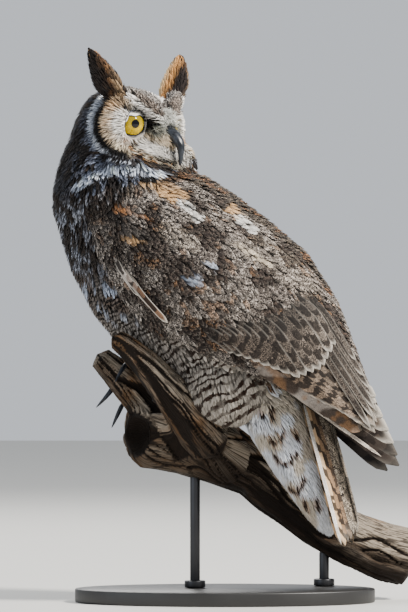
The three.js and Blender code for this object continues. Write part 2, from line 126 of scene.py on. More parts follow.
@dataclass(frozen=True)
class Stance:
    """How the body and the head are turned in the shared frame.

    In the body frame +X is towards the tail and +Y the owl's right; in the head frame +X is where
    the bill points and +Y the owl's left.
    """

    body_turn: float = math.radians(-12)
    pivot: tuple[float, float, float] = (-60 * MM, 0, 0)
    head_turn: float = math.radians(-38)
    head_centre: tuple[float, float, float] = (-98 * MM, 4 * MM, 474 * MM)
    eye: tuple[float, float, float] = (25 * MM, 27 * MM, 4 * MM)

    @staticmethod
    def turn(points: Array, angle: float) -> Array:
        """Points turned about +Z.

        Args:
            points: places or vectors.
            angle: in radians.

        Returns:
            The turned ones.
        """
        c, s = math.cos(angle), math.sin(angle)
        x, y, z = np.moveaxis(np.asarray(points, float), -1, 0)
        return np.stack([x * c - y * s, x * s + y * c, z], axis=-1)

    def to_body(self, points: Array) -> Array:
        """Shared frame to body frame."""
        return self.turn(np.asarray(points) - self.pivot, -self.body_turn) + self.pivot

    def from_body(self, points: Array) -> Array:
        """Body frame to shared frame."""
        return self.turn(np.asarray(points) - self.pivot, self.body_turn) + self.pivot

    def to_head(self, points: Array) -> Array:
        """Shared frame to head frame."""
        return self.turn(np.asarray(points) - self.head_centre, -self.head_turn)

    def from_head(self, points: Array) -> Array:
        """Head frame to shared frame."""
        return self.turn(np.asarray(points), self.head_turn) + self.head_centre

    def laid(self, local: Array, normal: Array, mirrored: bool) -> tuple[Array, Array]:
        """Moves a sheet of points from the body frame to the shared one.

        Args:
            local: the points in the body frame, in millimetres, on the owl's left side.
            normal: the sheet's normal in the body frame.
            mirrored: whether the sheet belongs on the owl's right side.

        Returns:
            The points, in metres, and the normal at each.
        """
        flip = np.array([1, -1 if mirrored else 1, 1])
        up = np.tile(normal * flip, (len(local), 1))
        return self.from_body(local * flip * MM), self.turn(up, self.body_turn)

    def eye_place(self, hand: int) -> Array:
        """Middle of an eyeball in the shared frame."""
        return self.from_head(np.array([self.eye[0], hand * self.eye[1], self.eye[2]]))

    def face_chart(self, points: Array) -> tuple[Array, Array, Array]:
        """Where points lie on the face, with both halves laid over the owl's right one.

        Args:
            points: places in the shared frame.

        Returns:
            Distances across and up from the right eye as seen from -Y, in millimetres, and the
            places in the head frame, in millimetres.
        """
        head = self.to_head(points)
        folded = head.copy()
        folded[:, 1] = -np.abs(folded[:, 1])
        seen = self.from_head(folded)
        eye = self.eye_place(-1)
        return (seen[:, 0] - eye[0]) / MM, (seen[:, 2] - eye[2]) / MM, head / MM


STANCE = Stance()


# ---- shader maths
class Wire:
    """A node's output socket that takes part in Python expressions."""

    def __init__(self, graph: "Graph", socket: bpy.types.NodeSocket) -> None:
        """Notes the socket and its graph."""
        self.graph = graph
        self.socket = socket

    def __add__(self, other: "Wire | float") -> "Wire":
        """The sum."""
        return self.graph.math("ADD", self, other)

    def __sub__(self, other: "Wire | float") -> "Wire":
        """The difference."""
        return self.graph.math("SUBTRACT", self, other)

    def __rsub__(self, other: float) -> "Wire":
        """The difference, taken from a number."""
        return self.graph.math("SUBTRACT", other, self)

    def __mul__(self, other: "Wire | float") -> "Wire":
        """The product."""
        return self.graph.math("MULTIPLY", self, other)

    def __abs__(self) -> "Wire":
        """The value without its sign."""
        return self.graph.math("ABSOLUTE", self)

    __radd__ = __add__
    __rmul__ = __mul__


class Graph:
    """A material's node tree, built by expressions."""

    def __init__(self, name: str) -> None:
        """Starts a new material with an empty tree.

        Args:
            name: the material's name.
        """
        self.material = bpy.data.materials.new(name)
        self.material.use_nodes = True
        self.tree = self.material.node_tree
        self.tree.nodes.clear()

    def node(self, kind: str, settings: dict | None = None, inputs: dict | None = None) -> bpy.types.Node:
        """A node of any kind.

        Args:
            kind: the node's type, such as ShaderNodeTexNoise.
            settings: properties, set before the sockets.
            inputs: values or wires by socket name or number.

        Returns:
            The node.
        """
        made = self.tree.nodes.new(kind)
        for name, value in (settings or {}).items():
            setattr(made, name, value)
        for key, value in (inputs or {}).items():
            if isinstance(value, Wire):
                self.tree.links.new(value.socket, made.inputs[key])
            else:
                made.inputs[key].default_value = value
        return made

    def wire(self, made: bpy.types.Node, output: str | int = 0) -> Wire:
        """One output of a node."""
        return Wire(self, made.outputs[output])

    def math(self, operation: str, *values: Wire | float, clamp: bool = False) -> Wire:
        """A Math node on one to three values."""
        settings = {"operation": operation, "use_clamp": clamp}
        return self.wire(self.node("ShaderNodeMath", settings, dict(enumerate(values))))

    def vector(self, operation: str, *values: Wire | tuple, output: str | int = 0) -> Wire:
        """A Vector Math node on one or two vectors."""
        made = self.node("ShaderNodeVectorMath", {"operation": operation}, dict(enumerate(values)))
        return self.wire(made, output)

    def wave(self, phase: Wire) -> Wire:
        """A sine wave from 0 to 1, one for each whole number of the phase."""
        return self.math("SINE", phase * (2 * math.pi)) * 0.5 + 0.5

    def clamp(self, value: Wire) -> Wire:
        """A value kept between 0 and 1."""
        return self.math("ADD", value, 0.0, clamp=True)

    def step(self, value: Wire, start: float, end: float) -> Wire:
        """0 before start and 1 after end, smooth between."""
        inputs = {"Value": value, "From Min": start, "From Max": end, "To Min": 0.0, "To Max": 1.0}
        return self.wire(self.node("ShaderNodeMapRange", {"interpolation_type": "SMOOTHSTEP"}, inputs))

    def mix(self, share: Wire | float, low: Wire | tuple, high: Wire | tuple, how: str = "MIX") -> Wire:
        """A colour mixed from two.

        Args:
            share: 0 for low and 1 for high.
            low: a colour.
            high: a colour.
            how: the Mix node's way.

        Returns:
            The colour.
        """
        low, high = [v if isinstance(v, Wire) else (*v, 1.0) for v in (low, high)]
        settings = {"data_type": "RGBA", "blend_type": how, "clamp_factor": True}
        return self.wire(self.node("ShaderNodeMix", settings, {0: share, 6: low, 7: high}), 2)

    def attribute(self, name: str) -> bpy.types.Node:
        """An attribute of the mesh."""
        return self.node("ShaderNodeAttribute", {"attribute_name": name})

    def split(self, vector: Wire) -> list[Wire]:
        """A vector's three numbers."""
        made = self.node("ShaderNodeSeparateXYZ", None, {0: vector})
        return [self.wire(made, i) for i in range(3)]

    def place(self) -> Wire:
        """Object coordinates."""
        return self.wire(self.node("ShaderNodeTexCoord"), "Object")

    def uv(self, name: str) -> Wire:
        """The mesh's own UV map."""
        return self.wire(self.node("ShaderNodeUVMap", {"uv_map": name}))

    def mapped(self, vector: Wire, scale: tuple[float, float, float]) -> Wire:
        """A vector stretched by a Mapping node."""
        return self.wire(self.node("ShaderNodeMapping", None, {"Vector": vector, "Scale": scale}))

    def noise(self, vector: Wire, scale: float, detail: float = 3.0, warp: float = 0.0) -> Wire:
        """Noise from 0 to 1."""
        inputs = {"Vector": vector, "Scale": scale, "Detail": detail, "Distortion": warp}
        return self.wire(self.node("ShaderNodeTexNoise", None, inputs), "Fac")

    def bump(self, height: Wire, depth: float, strength: float = 1.0) -> Wire:
        """A normal tilted by a height whose full range is depth metres."""
        inputs = {"Height": height, "Distance": depth, "Strength": strength}
        return self.wire(self.node("ShaderNodeBump", None, inputs))

    def finish(self, **inputs: Wire | float | tuple) -> bpy.types.Material:
        """Ends the tree in a Principled shader whose sockets are given by name, with _ for a space.

        Args:
            inputs: values or wires by socket name.

        Returns:
            The material.
        """
        sockets = {name.replace("_", " "): value for name, value in inputs.items()}
        shader = self.node("ShaderNodeBsdfPrincipled", None, sockets)
        self.node("ShaderNodeOutputMaterial", None, {"Surface": self.wire(shader)})
        return self.material


# ---- finishes
@dataclass(frozen=True)
class PlumageFinish:
    """Feather: ground colour, bars, fine wavy lines, pale edge and barbs from each vane's own map, darker
    towards the root: partly the feather's own dark base, partly painted shade where feathers overlap.
    """

    name: str = "plumage"
    barb_count: float = 46.0
    barb_depth: float = 0.00035
    sheen: float = 0.05
    bar_way: tuple[float, float] = (500.0, -850.0)
    bar_origin: float = 205.0

    def build(self) -> bpy.types.Material:
        """The material, which reads the attributes tone, mark and grain and the map Vane.

        Returns:
            The material.
        """
        g = Graph(self.name)
        across, along, _ = g.split(g.uv("Vane"))
        off = abs(across - 0.5) * 2.0
        tone = g.wire(g.attribute("tone"), "Color")
        mark = g.attribute("mark")
        grain = g.attribute("grain")
        count, speckle, edge = g.split(g.wire(grain, "Vector"))
        seed = g.wire(grain, "Alpha")
        place = g.place()
        wander = g.noise(place, 90.0, 2.0)
        phase = along * count * 10.0 + off * off * 0.35 + wander * 1.3 + seed * 3.0
        wave = g.wave(phase)
        order = g.wire(g.attribute("tone"), "Alpha")
        own = g.step(wave, 0.42, 0.72) * (1.0 - order)
        bars = (own + self._lined_up(g, place, count) * order) * g.wire(mark, "Alpha")
        whorl = g.noise(place, 260.0, 2.0, 0.5) * 7.0 + along * 1.6 + seed * 3.0
        worms = g.step(g.wave(whorl), 0.26, 0.5) * speckle * (0.72 + 0.5 * g.noise(place, 90.0, 1.0))
        colour = g.mix(g.clamp(bars), tone, g.wire(mark, "Color"))
        colour = g.mix(g.clamp(worms), colour, g.wire(mark, "Color"))
        shaft = (1.0 - g.step(off, 0.03, 0.13)) * 0.35 * g.step(speckle + edge, 0.02, 0.2)
        colour = g.mix(shaft, colour, (0.03, 0.022, 0.016))
        rim = g.step(along + off * off * 0.1, 0.9, 1.03) * edge
        sides = g.step(off, 0.62, 0.9) * (edge - 0.5) * 1.6
        colour = g.mix(g.clamp(g.math("MAXIMUM", rim, sides)), colour, (0.6, 0.55, 0.48))
        # painted shade: darker towards the root, partly the feather's own dark base and partly the shade
        # where feathers overlap
        shade = 0.4 + 0.6 * g.step(along, 0.1, 0.75)
        shade = shade * (0.9 + 0.2 * g.noise(place, 24.0, 1.0))
        shade_vector = g.wire(g.node("ShaderNodeCombineXYZ", None, {0: shade, 1: shade, 2: shade}))
        colour = g.mix(1.0, colour, shade_vector, "MULTIPLY")
        height = g.wave(along * self.barb_count - off * 7.0) * 0.5 + g.noise(place, 900.0, 1.0) * 0.5
        return g.finish(
            Base_Color=colour,
            Roughness=0.72,
            Normal=g.bump(height, self.barb_depth, 0.6),
            Sheen_Weight=self.sheen,
            Sheen_Roughness=0.5,
            Specular_IOR_Level=0.15,
        )

    def _lined_up(self, g: Graph, place: Wire, count: Wire) -> Wire:
        """Bars that run on from feather to feather across the belly and thigh.

        Args:
            g: the graph they are made in.
            place: the point on the bird.
            count: a tenth of the bars' weight: 1 is thin bars and 3 broad ones.

        Returns:
            Their strength.
        """
        x, _, z = g.split(place)
        wobble = (g.noise(place, 28.0, 2.0) - 0.5) * 22.0 + (g.noise(place, 130.0, 2.0) - 0.5) * 9.0
        down = x * self.bar_way[0] + z * self.bar_way[1] + self.bar_origin + wobble
        phase = down * (1 / 7.2) - down * down * 0.00045
        wave = g.wave(phase)
        start = 0.82 - count * 1.9
        broken = 0.5 + 0.5 * g.step(g.noise(place, 75.0, 2.0), 0.38, 0.56)
        return g.clamp((wave - start) * 5.0) * broken


@dataclass(frozen=True)
class SkinFinish:
    """Down-covered skin under the coat, in the coat's own colours but darker."""

    name: str = "skin_down"
    darken: float = 0.5

    def build(self) -> bpy.types.Material:
        """The material, which reads the attribute tone.

        Returns:
            The material.
        """
        g = Graph(self.name)
        place = g.place()
        # every ring is black near the inner corner: the eye's own dark fold there, and painted shade in the
        # corner
        share = g.noise(place, 300.0, 3.0) * 0.5 + (self.darken - 0.25)
        tone = g.wire(g.attribute("tone"), "Color")
        colour = g.mix(share, (0.012, 0.01, 0.009), tone)
        return g.finish(
            Base_Color=colour,
            Roughness=0.9,
            Normal=g.bump(g.noise(place, 700.0, 2.0), 0.0012),
            Specular_IOR_Level=0.1,
        )


@dataclass(frozen=True)
class EyeFinish:
    """Yellow iris with fine rays, a round pupil and a dark ring, under a wet clear coat; painted light at
    the bottom of the iris, painted brow shadow at its top and a faint painted blue reflection in the pupil.
    """

    name: str
    centre: tuple[float, float, float]
    axis: tuple[float, float, float]
    iris_radius: float = 12.8 * MM
    pupil_radius: float = 4.2 * MM

    def build(self) -> bpy.types.Material:
        """The material, laid out by the distance from the line of sight.

        Returns:
            The material.
        """
        g = Graph(self.name)
        away = g.vector("SUBTRACT", g.place(), self.centre)
        along = g.vector("DOT_PRODUCT", away, self.axis, output="Value")
        size = g.vector("LENGTH", away, output="Value")
        radial = g.math("SQRT", g.math("MAXIMUM", size * size - along * along, 0.0))
        reach = radial * (1 / self.iris_radius)
        flat = self._flattened(g, away, along)
        rays = g.noise(flat, 22.0, 4.0, 0.4)
        cloud = g.noise(away, 240.0, 2.0)
        _, _, up = g.split(away)
        # painted light and shade: the iris is bright at the bottom, where light comes through the clear
        # bulge, and dark olive at the top, in the brow's shadow
        painted_light_below = g.step(up, 4.0 * MM, -7.0 * MM)
        gold = g.mix(g.clamp(painted_light_below * 0.9 + rays * 0.25), tint(118, 106, 8), tint(236, 206, 8))
        gold = g.mix(g.step(rays, 0.62, 0.36) * 0.45, gold, tint(104, 84, 10))
        gold = g.mix(g.step(cloud, 0.35, 0.7) * 0.25, gold, tint(150, 132, 30))
        gold = g.mix(g.step(reach, 0.5, 0.34) * 0.4, gold, tint(120, 106, 30))
        dark = g.step(reach, 0.88, 0.98)
        colour = g.mix(dark, gold, tint(14, 11, 9))
        pupil = g.step(radial, self.pupil_radius + 0.25 * MM, self.pupil_radius - 0.15 * MM)
        # the pupil is black with a faint blue: a painted reflection of the sky
        colour = g.mix(pupil, colour, tint(4, 7, 13))
        return g.finish(
            Base_Color=colour,
            Roughness=0.5,
            Normal=g.bump(rays * (1.0 - dark), 0.0002, 0.4),
            Specular_IOR_Level=0.0,
            Coat_Weight=0.7,
            Coat_Roughness=0.02,
            Coat_IOR=1.45,
        )

    def _flattened(self, g: Graph, away: Wire, along: Wire) -> Wire:
        """Directions round the line of sight, so that noise on them makes rays."""
        scaled = g.node("ShaderNodeVectorMath", {"operation": "SCALE"}, {0: self.axis, "Scale": along})
        return g.vector("NORMALIZE", g.vector("SUBTRACT", away, g.wire(scaled)))


@dataclass(frozen=True)
class LidFinish:
    """Eyelid skin: black wet rim, pale and finely pleated beyond it, from the attribute tone."""

    name: str = "eyelid"

    def build(self) -> bpy.types.Material:
        """The material.

        Returns:
            The material.
        """
        g = Graph(self.name)
        place = g.place()
        tone = g.wire(g.attribute("tone"), "Color")
        fine = g.noise(place, 900.0, 3.0)
        colour = g.mix(g.step(fine, 0.4, 0.75) * 0.3, tone, (0.05, 0.045, 0.04))
        return g.finish(Base_Color=colour, Roughness=0.6, Normal=g.bump(fine, 0.0004))


@dataclass(frozen=True)
class HornFinish:
    """Bill and claws: near-black horn with a blue-grey bloom, paler ridges and growth lines."""

    name: str = "horn"
    deep: tuple[float, float, float] = tuple(tint(24, 26, 31))
    bloom: tuple[float, float, float] = tuple(tint(62, 68, 78))

    def build(self) -> bpy.types.Material:
        """The material.

        Returns:
            The material.
        """
        g = Graph(self.name)
        place = g.place()
        streak = g.noise(g.mapped(place, (1.0, 1.0, 0.35)), 420.0, 4.0, 0.3)
        worn = g.noise(place, 130.0, 3.0)
        colour = g.mix(g.step(streak * 0.6 + worn * 0.5, 0.42, 0.8), self.deep, self.bloom)
        return g.finish(
            Base_Color=colour,
            Roughness=g.step(worn, 0.2, 0.9) * 0.2 + 0.24,
            Normal=g.bump(streak, 0.0003, 0.5),
            Specular_IOR_Level=0.4,
        )


@dataclass(frozen=True)
class WoodFinish:
    """Weathered limb: silver-grey on what stands out, tan below it and nearly black in the grooves, with
    painted shade in the grooves, in the hollow and on the underside.
    """

    name: str = "weathered_wood"

    def build(self) -> bpy.types.Material:
        """The material, which reads the attribute relief and the map Grain.

        Returns:
            The material.
        """
        g = Graph(self.name)
        place = g.place()
        grain = g.uv("Grain")
        relief = g.attribute("relief")
        height, weathering_and_painted_light, painted_underside_shade = g.split(g.wire(relief, "Vector"))
        fibre = g.noise(g.mapped(grain, (1.0, 10.0, 1.0)), 6.5, 5.0, 0.5)
        fine = g.noise(g.mapped(grain, (1.0, 9.0, 1.0)), 19.0, 3.0, 0.3)
        blotch = g.noise(place, 26.0, 3.0, 0.4)
        silver = g.mix(fine, tint(70, 61, 52), tint(190, 178, 162))
        tan = g.mix(fibre, tint(48, 34, 22), tint(160, 124, 86))
        bleached = g.step(blotch, 0.3, 0.55) * (0.5 + 0.5 * weathering_and_painted_light) + (height - 0.72)
        colour = g.mix(g.clamp(bleached), tan, silver)
        # painted shade: the underside is painted dark brown, in patches
        patchy_underside_shade = painted_underside_shade * (0.7 + 0.3 * g.step(blotch, 0.65, 0.35))
        colour = g.mix(g.clamp(patchy_underside_shade), colour, tint(40, 28, 19))
        # painted shade: nearly black in the grooves
        dark = g.step(height + (fibre - 0.5) * 0.7, 0.7, 0.38)
        colour = g.mix(dark * 0.95, colour, tint(16, 12, 9))
        lines = g.step(fibre, 0.53, 0.42)
        colour = g.mix(lines * 0.8, colour, tint(28, 20, 14))
        # painted shade: darker on faces turned down or away from the front
        colour = g.mix((1.0 - weathering_and_painted_light) * 0.6, colour, tint(30, 21, 14))
        bumps = fibre * 0.6 + fine * 0.3 + blotch * 0.1
        return g.finish(
            Base_Color=colour,
            Roughness=0.86,
            Normal=g.bump(bumps, 0.003, 0.9),
            Specular_IOR_Level=0.2,
        )


@dataclass(frozen=True)
class StandFinish:
    """Satin lacquer on the stand's plate and rods."""

    name: str
    colour: tuple[float, float, float]
    metal: float
    rough: float

    def build(self) -> bpy.types.Material:
        """The material.

        Returns:
            The material.
        """
        g = Graph(self.name)
        place = g.place()
        cloud = g.noise(place, 18.0, 4.0)
        scratch = g.noise(g.mapped(place, (1.0, 14.0, 1.0)), 60.0, 3.0)
        lighter = tuple(min(1.0, c * 1.35 + 0.01) for c in self.colour)
        colour = g.mix(g.step(cloud, 0.3, 0.75) * 0.5, self.colour, lighter)
        return g.finish(
            Base_Color=colour,
            Metallic=self.metal,
            Roughness=scratch * 0.18 + self.rough,
            Normal=g.bump(scratch, 0.0001, 0.4),
        )


# ---- mesh making
def deselect() -> None:
    """Leaves nothing selected."""
    bpy.ops.object.select_all(action="DESELECT")


def focus(item: bpy.types.Object) -> None:
    """Makes one object the only one selected, and active.

    Args:
        item: the object.
    """
    deselect()
    item.select_set(True)
    bpy.context.view_layer.objects.active = item


@contextmanager
def editing(item: bpy.types.Object) -> Iterator[None]:
    """Edit mode on one object, with all of it selected.

    Args:
        item: the object.

    Returns:
        The mode, for a with statement.
    """
    focus(item)
    bpy.ops.object.mode_set(mode="EDIT")
    bpy.ops.mesh.select_all(action="SELECT")
    yield
    bpy.ops.object.mode_set(mode="OBJECT")


def placed(name: str, data: bpy.types.ID) -> bpy.types.Object:
    """A new object in the scene, made of a mesh, lamp or camera.

    Args:
        name: the object's name.
        data: the mesh, lamp or camera.

    Returns:
        The object.
    """
    item = bpy.data.objects.new(name, data)
    bpy.context.scene.collection.objects.link(item)
    return item


def primitive(name: str, add: Callable, **settings: object) -> bpy.types.Object:
    """A new primitive, with its place in its mesh.

    Args:
        name: the object's name.
        add: the operator that adds it.
        settings: the operator's sizes and place.

    Returns:
        The object.
    """
    deselect()
    add(**settings)
    item = bpy.context.object
    item.name = name
    bpy.ops.object.transform_apply(location=True, rotation=True, scale=True)
    return item


def apply_modifier(item: bpy.types.Object, kind: str, **settings: object) -> None:
    """Adds a modifier with settings and applies it.

    Args:
        item: the object.
        kind: the modifier's type.
        settings: its properties.
    """
    modifier = item.modifiers.new(kind.title(), kind)
    for name, value in settings.items():
        setattr(modifier, name, value)
    focus(item)
    bpy.ops.object.modifier_apply(modifier=modifier.name)


def node_copy(name: str, node: str, merge: float = 0.00002) -> bpy.types.Object:
    """A merged copy of a node of the frame, as a new object.

    Args:
        name: the new object's name.
        node: the node's name.
        merge: how close corners are to be made one.

    Returns:
        The object.
    """
    item = placed(name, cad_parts[node].data.copy())
    item.data.materials.clear()
    with editing(item):
        bpy.ops.mesh.remove_doubles(threshold=merge)
    return item


def joined(items: Sequence[bpy.types.Object], name: str) -> bpy.types.Object:
    """Several objects made one.

    Args:
        items: the objects.
        name: the name of the whole.

    Returns:
        The whole.
    """
    deselect()
    for item in items:
        item.select_set(True)
    bpy.context.view_layer.objects.active = items[0]
    bpy.ops.object.join()
    items[0].name = name
    return items[0]


def largest_shell(item: bpy.types.Object) -> bpy.types.Object:
    """Keeps only the part of an object with the most vertices.

    Args:
        item: the object.

    Returns:
        The same object without its loose parts.
    """
    name = item.name
    focus(item)
    bpy.ops.mesh.separate(type="LOOSE")
    parts = sorted(bpy.context.selected_objects, key=lambda part: len(part.data.vertices))
    for part in parts[:-1]:
        bpy.data.objects.remove(part)
    parts[-1].name = name
    return parts[-1]


def rows_of(items: bpy.types.bpy_prop_collection, name: str, width: int, kind: type = np.float32) -> Array:
    """One property of every element of a mesh, as rows of numbers.

    Args:
        items: the elements, such as a mesh's vertices.
        name: the property's name.
        width: how many numbers it has.
        kind: the numbers' type.

    Returns:
        The rows.
    """
    out = np.empty(len(items) * width, kind)
    items.foreach_get(name, out)
    return out.reshape(-1, width)


def vertex_places(mesh: bpy.types.Mesh) -> Array:
    """A mesh's vertex places."""
    return rows_of(mesh.vertices, "co", 3).astype(float)


def vertex_normals(mesh: bpy.types.Mesh) -> Array:
    """A mesh's vertex normals."""
    return rows_of(mesh.vertex_normals, "vector", 3).astype(float)


def set_places(mesh: bpy.types.Mesh, places: Array) -> None:
    """Moves a mesh's vertices."""
    mesh.vertices.foreach_set("co", np.ascontiguousarray(places, np.float32).ravel())
    mesh.update()


def triangles(mesh: bpy.types.Mesh) -> tuple[Array, Array]:
    """A mesh's triangles as vertex numbers, and the loop numbers of their corners."""
    mesh.calc_loop_triangles()
    return tuple(rows_of(mesh.loop_triangles, name, 3, np.int32) for name in ("vertices", "loops"))


def add_colour(mesh: bpy.types.Mesh, name: str, values: Array) -> None:
    """Stores four numbers for each vertex."""
    layer = mesh.attributes.new(name, "FLOAT_COLOR", "POINT")
    layer.data.foreach_set("color", np.ascontiguousarray(values, np.float32).ravel())


def with_alpha(colours: Array, alpha: Array | float = 1.0) -> Array:
    """Colours with a fourth number."""
    column = np.broadcast_to(np.asarray(alpha, float), (len(colours),))
    return np.concatenate([colours, column[:, None]], axis=1)


def hand_in(item: bpy.types.Object, replaces: Iterable[str] = ()) -> bpy.types.Object:
    """Makes a finished object a piece of the model.

    Args:
        item: the object.
        replaces: the nodes that it stands for.

    Returns:
        The object.
    """
    deselect()
    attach(item, BODY)
    nodes = list(replaces)
    if nodes:
        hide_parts(*nodes)
    item.data.calc_loop_triangles()
    count = len(item.data.loop_triangles)
    log.info("%-22s %7d triangles, stands for %d nodes", item.name, count, len(nodes))
    return item


# ---- the bird's form
class Part(Enum):
    """What a spot of skin belongs to."""

    HEAD = auto()
    NECK = auto()
    TRUNK = auto()
    WING = auto()
    THIGH = auto()
    LEG = auto()
    VENT = auto()
    TUFT = auto()


NODE_WORDS = ("head", "neck", "trunk", "wing", "thigh", "shank", "tail", "ear")
PART_OF = dict(zip(NODE_WORDS, Part)) | {"foot": Part.LEG}
HARD_NODES = ("eye", "bill", "talon", "stand", "perch")
FLIGHT_NODES = ("wing_left_primaries", "wing_right_primaries", "tail_feathers")
COAT_DEPTH = np.array([3.5, 5.0, 5.0, 3.0, 4.0, 1.2, 3.0, 2.5]) * MM  # in the order of Part


def flesh_nodes() -> list[str]:
    """Names of the nodes that the skin stands for."""
    names = sorted(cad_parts)
    return [n for n in names if not n.startswith(HARD_NODES) and n not in FLIGHT_NODES]


@dataclass
class Spots:
    """Places on the form with all that the markings need to know of them."""

    points: Array
    normals: Array
    parts: Array
    faces: Array | None = None
    seen: Array = field(init=False)
    face: Array = field(init=False)
    head: Array = field(init=False)
    body: Array = field(init=False)
    body_normal: Array = field(init=False)
    front: Array = field(init=False)

    def __post_init__(self) -> None:
        """Works out where the spots lie in every chart."""
        folded = STANCE.to_body(self.points)
        self.body = folded / MM
        self.body_normal = STANCE.turn(self.normals, -STANCE.body_turn)
        folded[:, 1] = -np.abs(folded[:, 1])
        view = STANCE.from_body(folded)
        self.seen = view[:, [0, 2]] / MM
        across, up, self.head = STANCE.face_chart(self.points)
        self.face = np.stack([across, up], axis=1)
        turned = STANCE.turn(self.normals, -STANCE.head_turn)
        turned[:, 1] = np.where(self.head[:, 1] > 0, -turned[:, 1], turned[:, 1])
        self.front = -STANCE.turn(turned, STANCE.head_turn)[:, 1]

    def __len__(self) -> int:
        """How many spots there are."""
        return len(self.points)

    def of(self, part: Part) -> Array:
        """Where the spots belong to a part."""
        return self.parts == part.value

    def pick(self, chosen: Array) -> "Spots":
        """The chosen spots."""
        faces = None if self.faces is None else self.faces[chosen]
        return Spots(self.points[chosen], self.normals[chosen], self.parts[chosen], faces)


@dataclass
class Form:
    """The bird's outer form: all nodes of flesh as one smooth closed mesh, without its seams.

    The coat's tips reach this form, and the skin is the same mesh drawn in by the coat's depth.
    """

    voxel: float = 2.6 * MM
    swell: float = 0.6 * MM
    item: bpy.types.Object = field(init=False)
    places: Array = field(init=False)
    normals: Array = field(init=False)
    parts: Array = field(init=False)
    tris: Array = field(init=False)
    tri_loops: Array = field(init=False)
    tree: BVHTree = field(init=False)
    uv: Array | None = field(init=False, default=None)

    def build(self) -> None:
        """Merges, smooths and labels the form."""
        copies, places, faces, labels = [], [], [], []
        count = 0
        for node in flesh_nodes():
            copy = node_copy("form_" + node, node)
            here = vertex_places(copy.data)
            set_places(copy.data, here + vertex_normals(copy.data) * self.swell)
            tris, _ = triangles(copy.data)
            places.append(here)
            faces.append(tris + count)
            labels.append(np.full(len(tris), PART_OF[node.split("_")[0]].value))
            count += len(here)
            copies.append(copy)
        self.item = joined(copies, "skin")
        apply_modifier(self.item, "REMESH", mode="VOXEL", voxel_size=self.voxel)
        self.item = largest_shell(self.item)
        apply_modifier(self.item, "SMOOTH", factor=0.5, iterations=5)
        mesh = self.item.data
        self.places = vertex_places(mesh)
        self.normals = vertex_normals(mesh)
        self.tris, self.tri_loops = triangles(mesh)
        self.tree = BVHTree.FromPolygons(self.places.tolist(), self.tris.tolist())
        node_tree = BVHTree.FromPolygons(np.concatenate(places).tolist(), np.concatenate(faces).tolist())
        tags = np.concatenate(labels)
        found = [node_tree.find_nearest(p)[2] for p in self.places.tolist()]
        self.parts = tags[np.array(found)]
        log.info("form: %d vertices, %d triangles", len(self.places), len(self.tris))

    def nearest(self, points: Array) -> tuple[Array, Array, Array]:
        """The form's own points nearest to others.

        Args:
            points: places near the form.

        Returns:
            Places on the form, smooth normals there and triangle numbers.
        """
        found = [self.tree.find_nearest(p) for p in points.tolist()]
        spots = np.array([hit[0][:] for hit in found])
        faces = np.array([hit[2] for hit in found])
        return spots, self.blended(self.normals, spots, faces, True), faces

    def weights(self, points: Array, faces: Array) -> Array:
        """Shares of the three corners at points on triangles.

        Args:
            points: places on the form.
            faces: the triangle of each.

        Returns:
            Three shares for each place.
        """
        a, b, c = (self.places[self.tris[faces, i]] for i in range(3))
        whole = np.linalg.norm(np.cross(b - a, c - a), axis=1) + 1e-15
        at_a = np.linalg.norm(np.cross(b - points, c - points), axis=1) / whole
        at_b = np.linalg.norm(np.cross(c - points, a - points), axis=1) / whole
        at_c = np.maximum(1 - at_a - at_b, 0)
        out = np.stack([at_a, at_b, at_c], axis=1)
        return out / out.sum(axis=1, keepdims=True)

    def blended(self, values: Array, points: Array, faces: Array, one_long: bool = False) -> Array:
        """A value of the vertices at points on triangles.

        Args:
            values: rows of numbers, one for each vertex.
            points: places on the form.
            faces: the triangle of each.
            one_long: whether to make the results one long.

        Returns:
            One row for each place.
        """
        share = self.weights(points, faces)
        out = np.einsum("ni,nij->nj", share, values[self.tris[faces]])
        return unit(out) if one_long else out

    def spots(self) -> Spots:
        """Every vertex of the form as spots."""
        return Spots(self.places, self.normals, self.parts)

    def scatter(self, count: int, density: Array, rng: np.random.Generator) -> Spots:
        """Random places on the form.

        Args:
            count: how many.
            density: weight of each triangle's area.
            rng: the random source.

        Returns:
            The places as spots.
        """
        a, b, c = (self.places[self.tris[:, i]] for i in range(3))
        area = np.linalg.norm(np.cross(b - a, c - a), axis=1) / 2
        chance = area * density
        faces = rng.choice(len(area), count, p=chance / chance.sum())
        r = np.sqrt(rng.random(count))[:, None]
        s = rng.random(count)[:, None]
        points = a[faces] * (1 - r) + b[faces] * (r * (1 - s)) + c[faces] * (r * s)
        normals = self.blended(self.normals, points, faces, True)
        parts = self.parts[self.tris[faces, 0]]
        return Spots(points, normals, parts, faces)

    def unwrap_at(self, points: Array, faces: Array) -> Array:
        """Where points on triangles lie on the skin's own unwrap."""
        share = self.weights(points, faces)
        return np.einsum("ni,nij->nj", share, self.uv[self.tri_loops[faces]])

    def on_side(self, hand: int, flat: Array) -> tuple[Array, Array, Array]:
        """Drops points of the side view onto the form.

        Args:
            hand: 1 for the owl's left side, -1 for its right.
            flat: X and Z in millimetres as they lie on the left side; the right mirrors them.

        Returns:
            Places, smooth normals and whether the form was met.
        """
        start = np.stack([flat[:, 0] * MM, np.full(len(flat), -0.6), flat[:, 1] * MM], axis=1)
        body = STANCE.to_body(start)
        ahead = STANCE.turn(np.array([0.0, 1.0, 0.0]), -STANCE.body_turn)
        if hand < 0:
            body[:, 1] *= -1
            ahead[1] *= -1
        origin = STANCE.from_body(body)
        way = Vector(STANCE.turn(ahead, STANCE.body_turn))
        places = origin.copy()
        normals = np.tile(-np.array(way), (len(flat), 1))
        met = np.zeros(len(flat), bool)
        for i, spot in enumerate(origin.tolist()):
            hit, _, face, _ = self.tree.ray_cast(spot, way)
            if hit is not None:
                places[i] = hit[:]
                met[i] = True
                normals[i] = self.blended(self.normals, places[i : i + 1], np.array([face]), True)[0]
        return places, normals, met


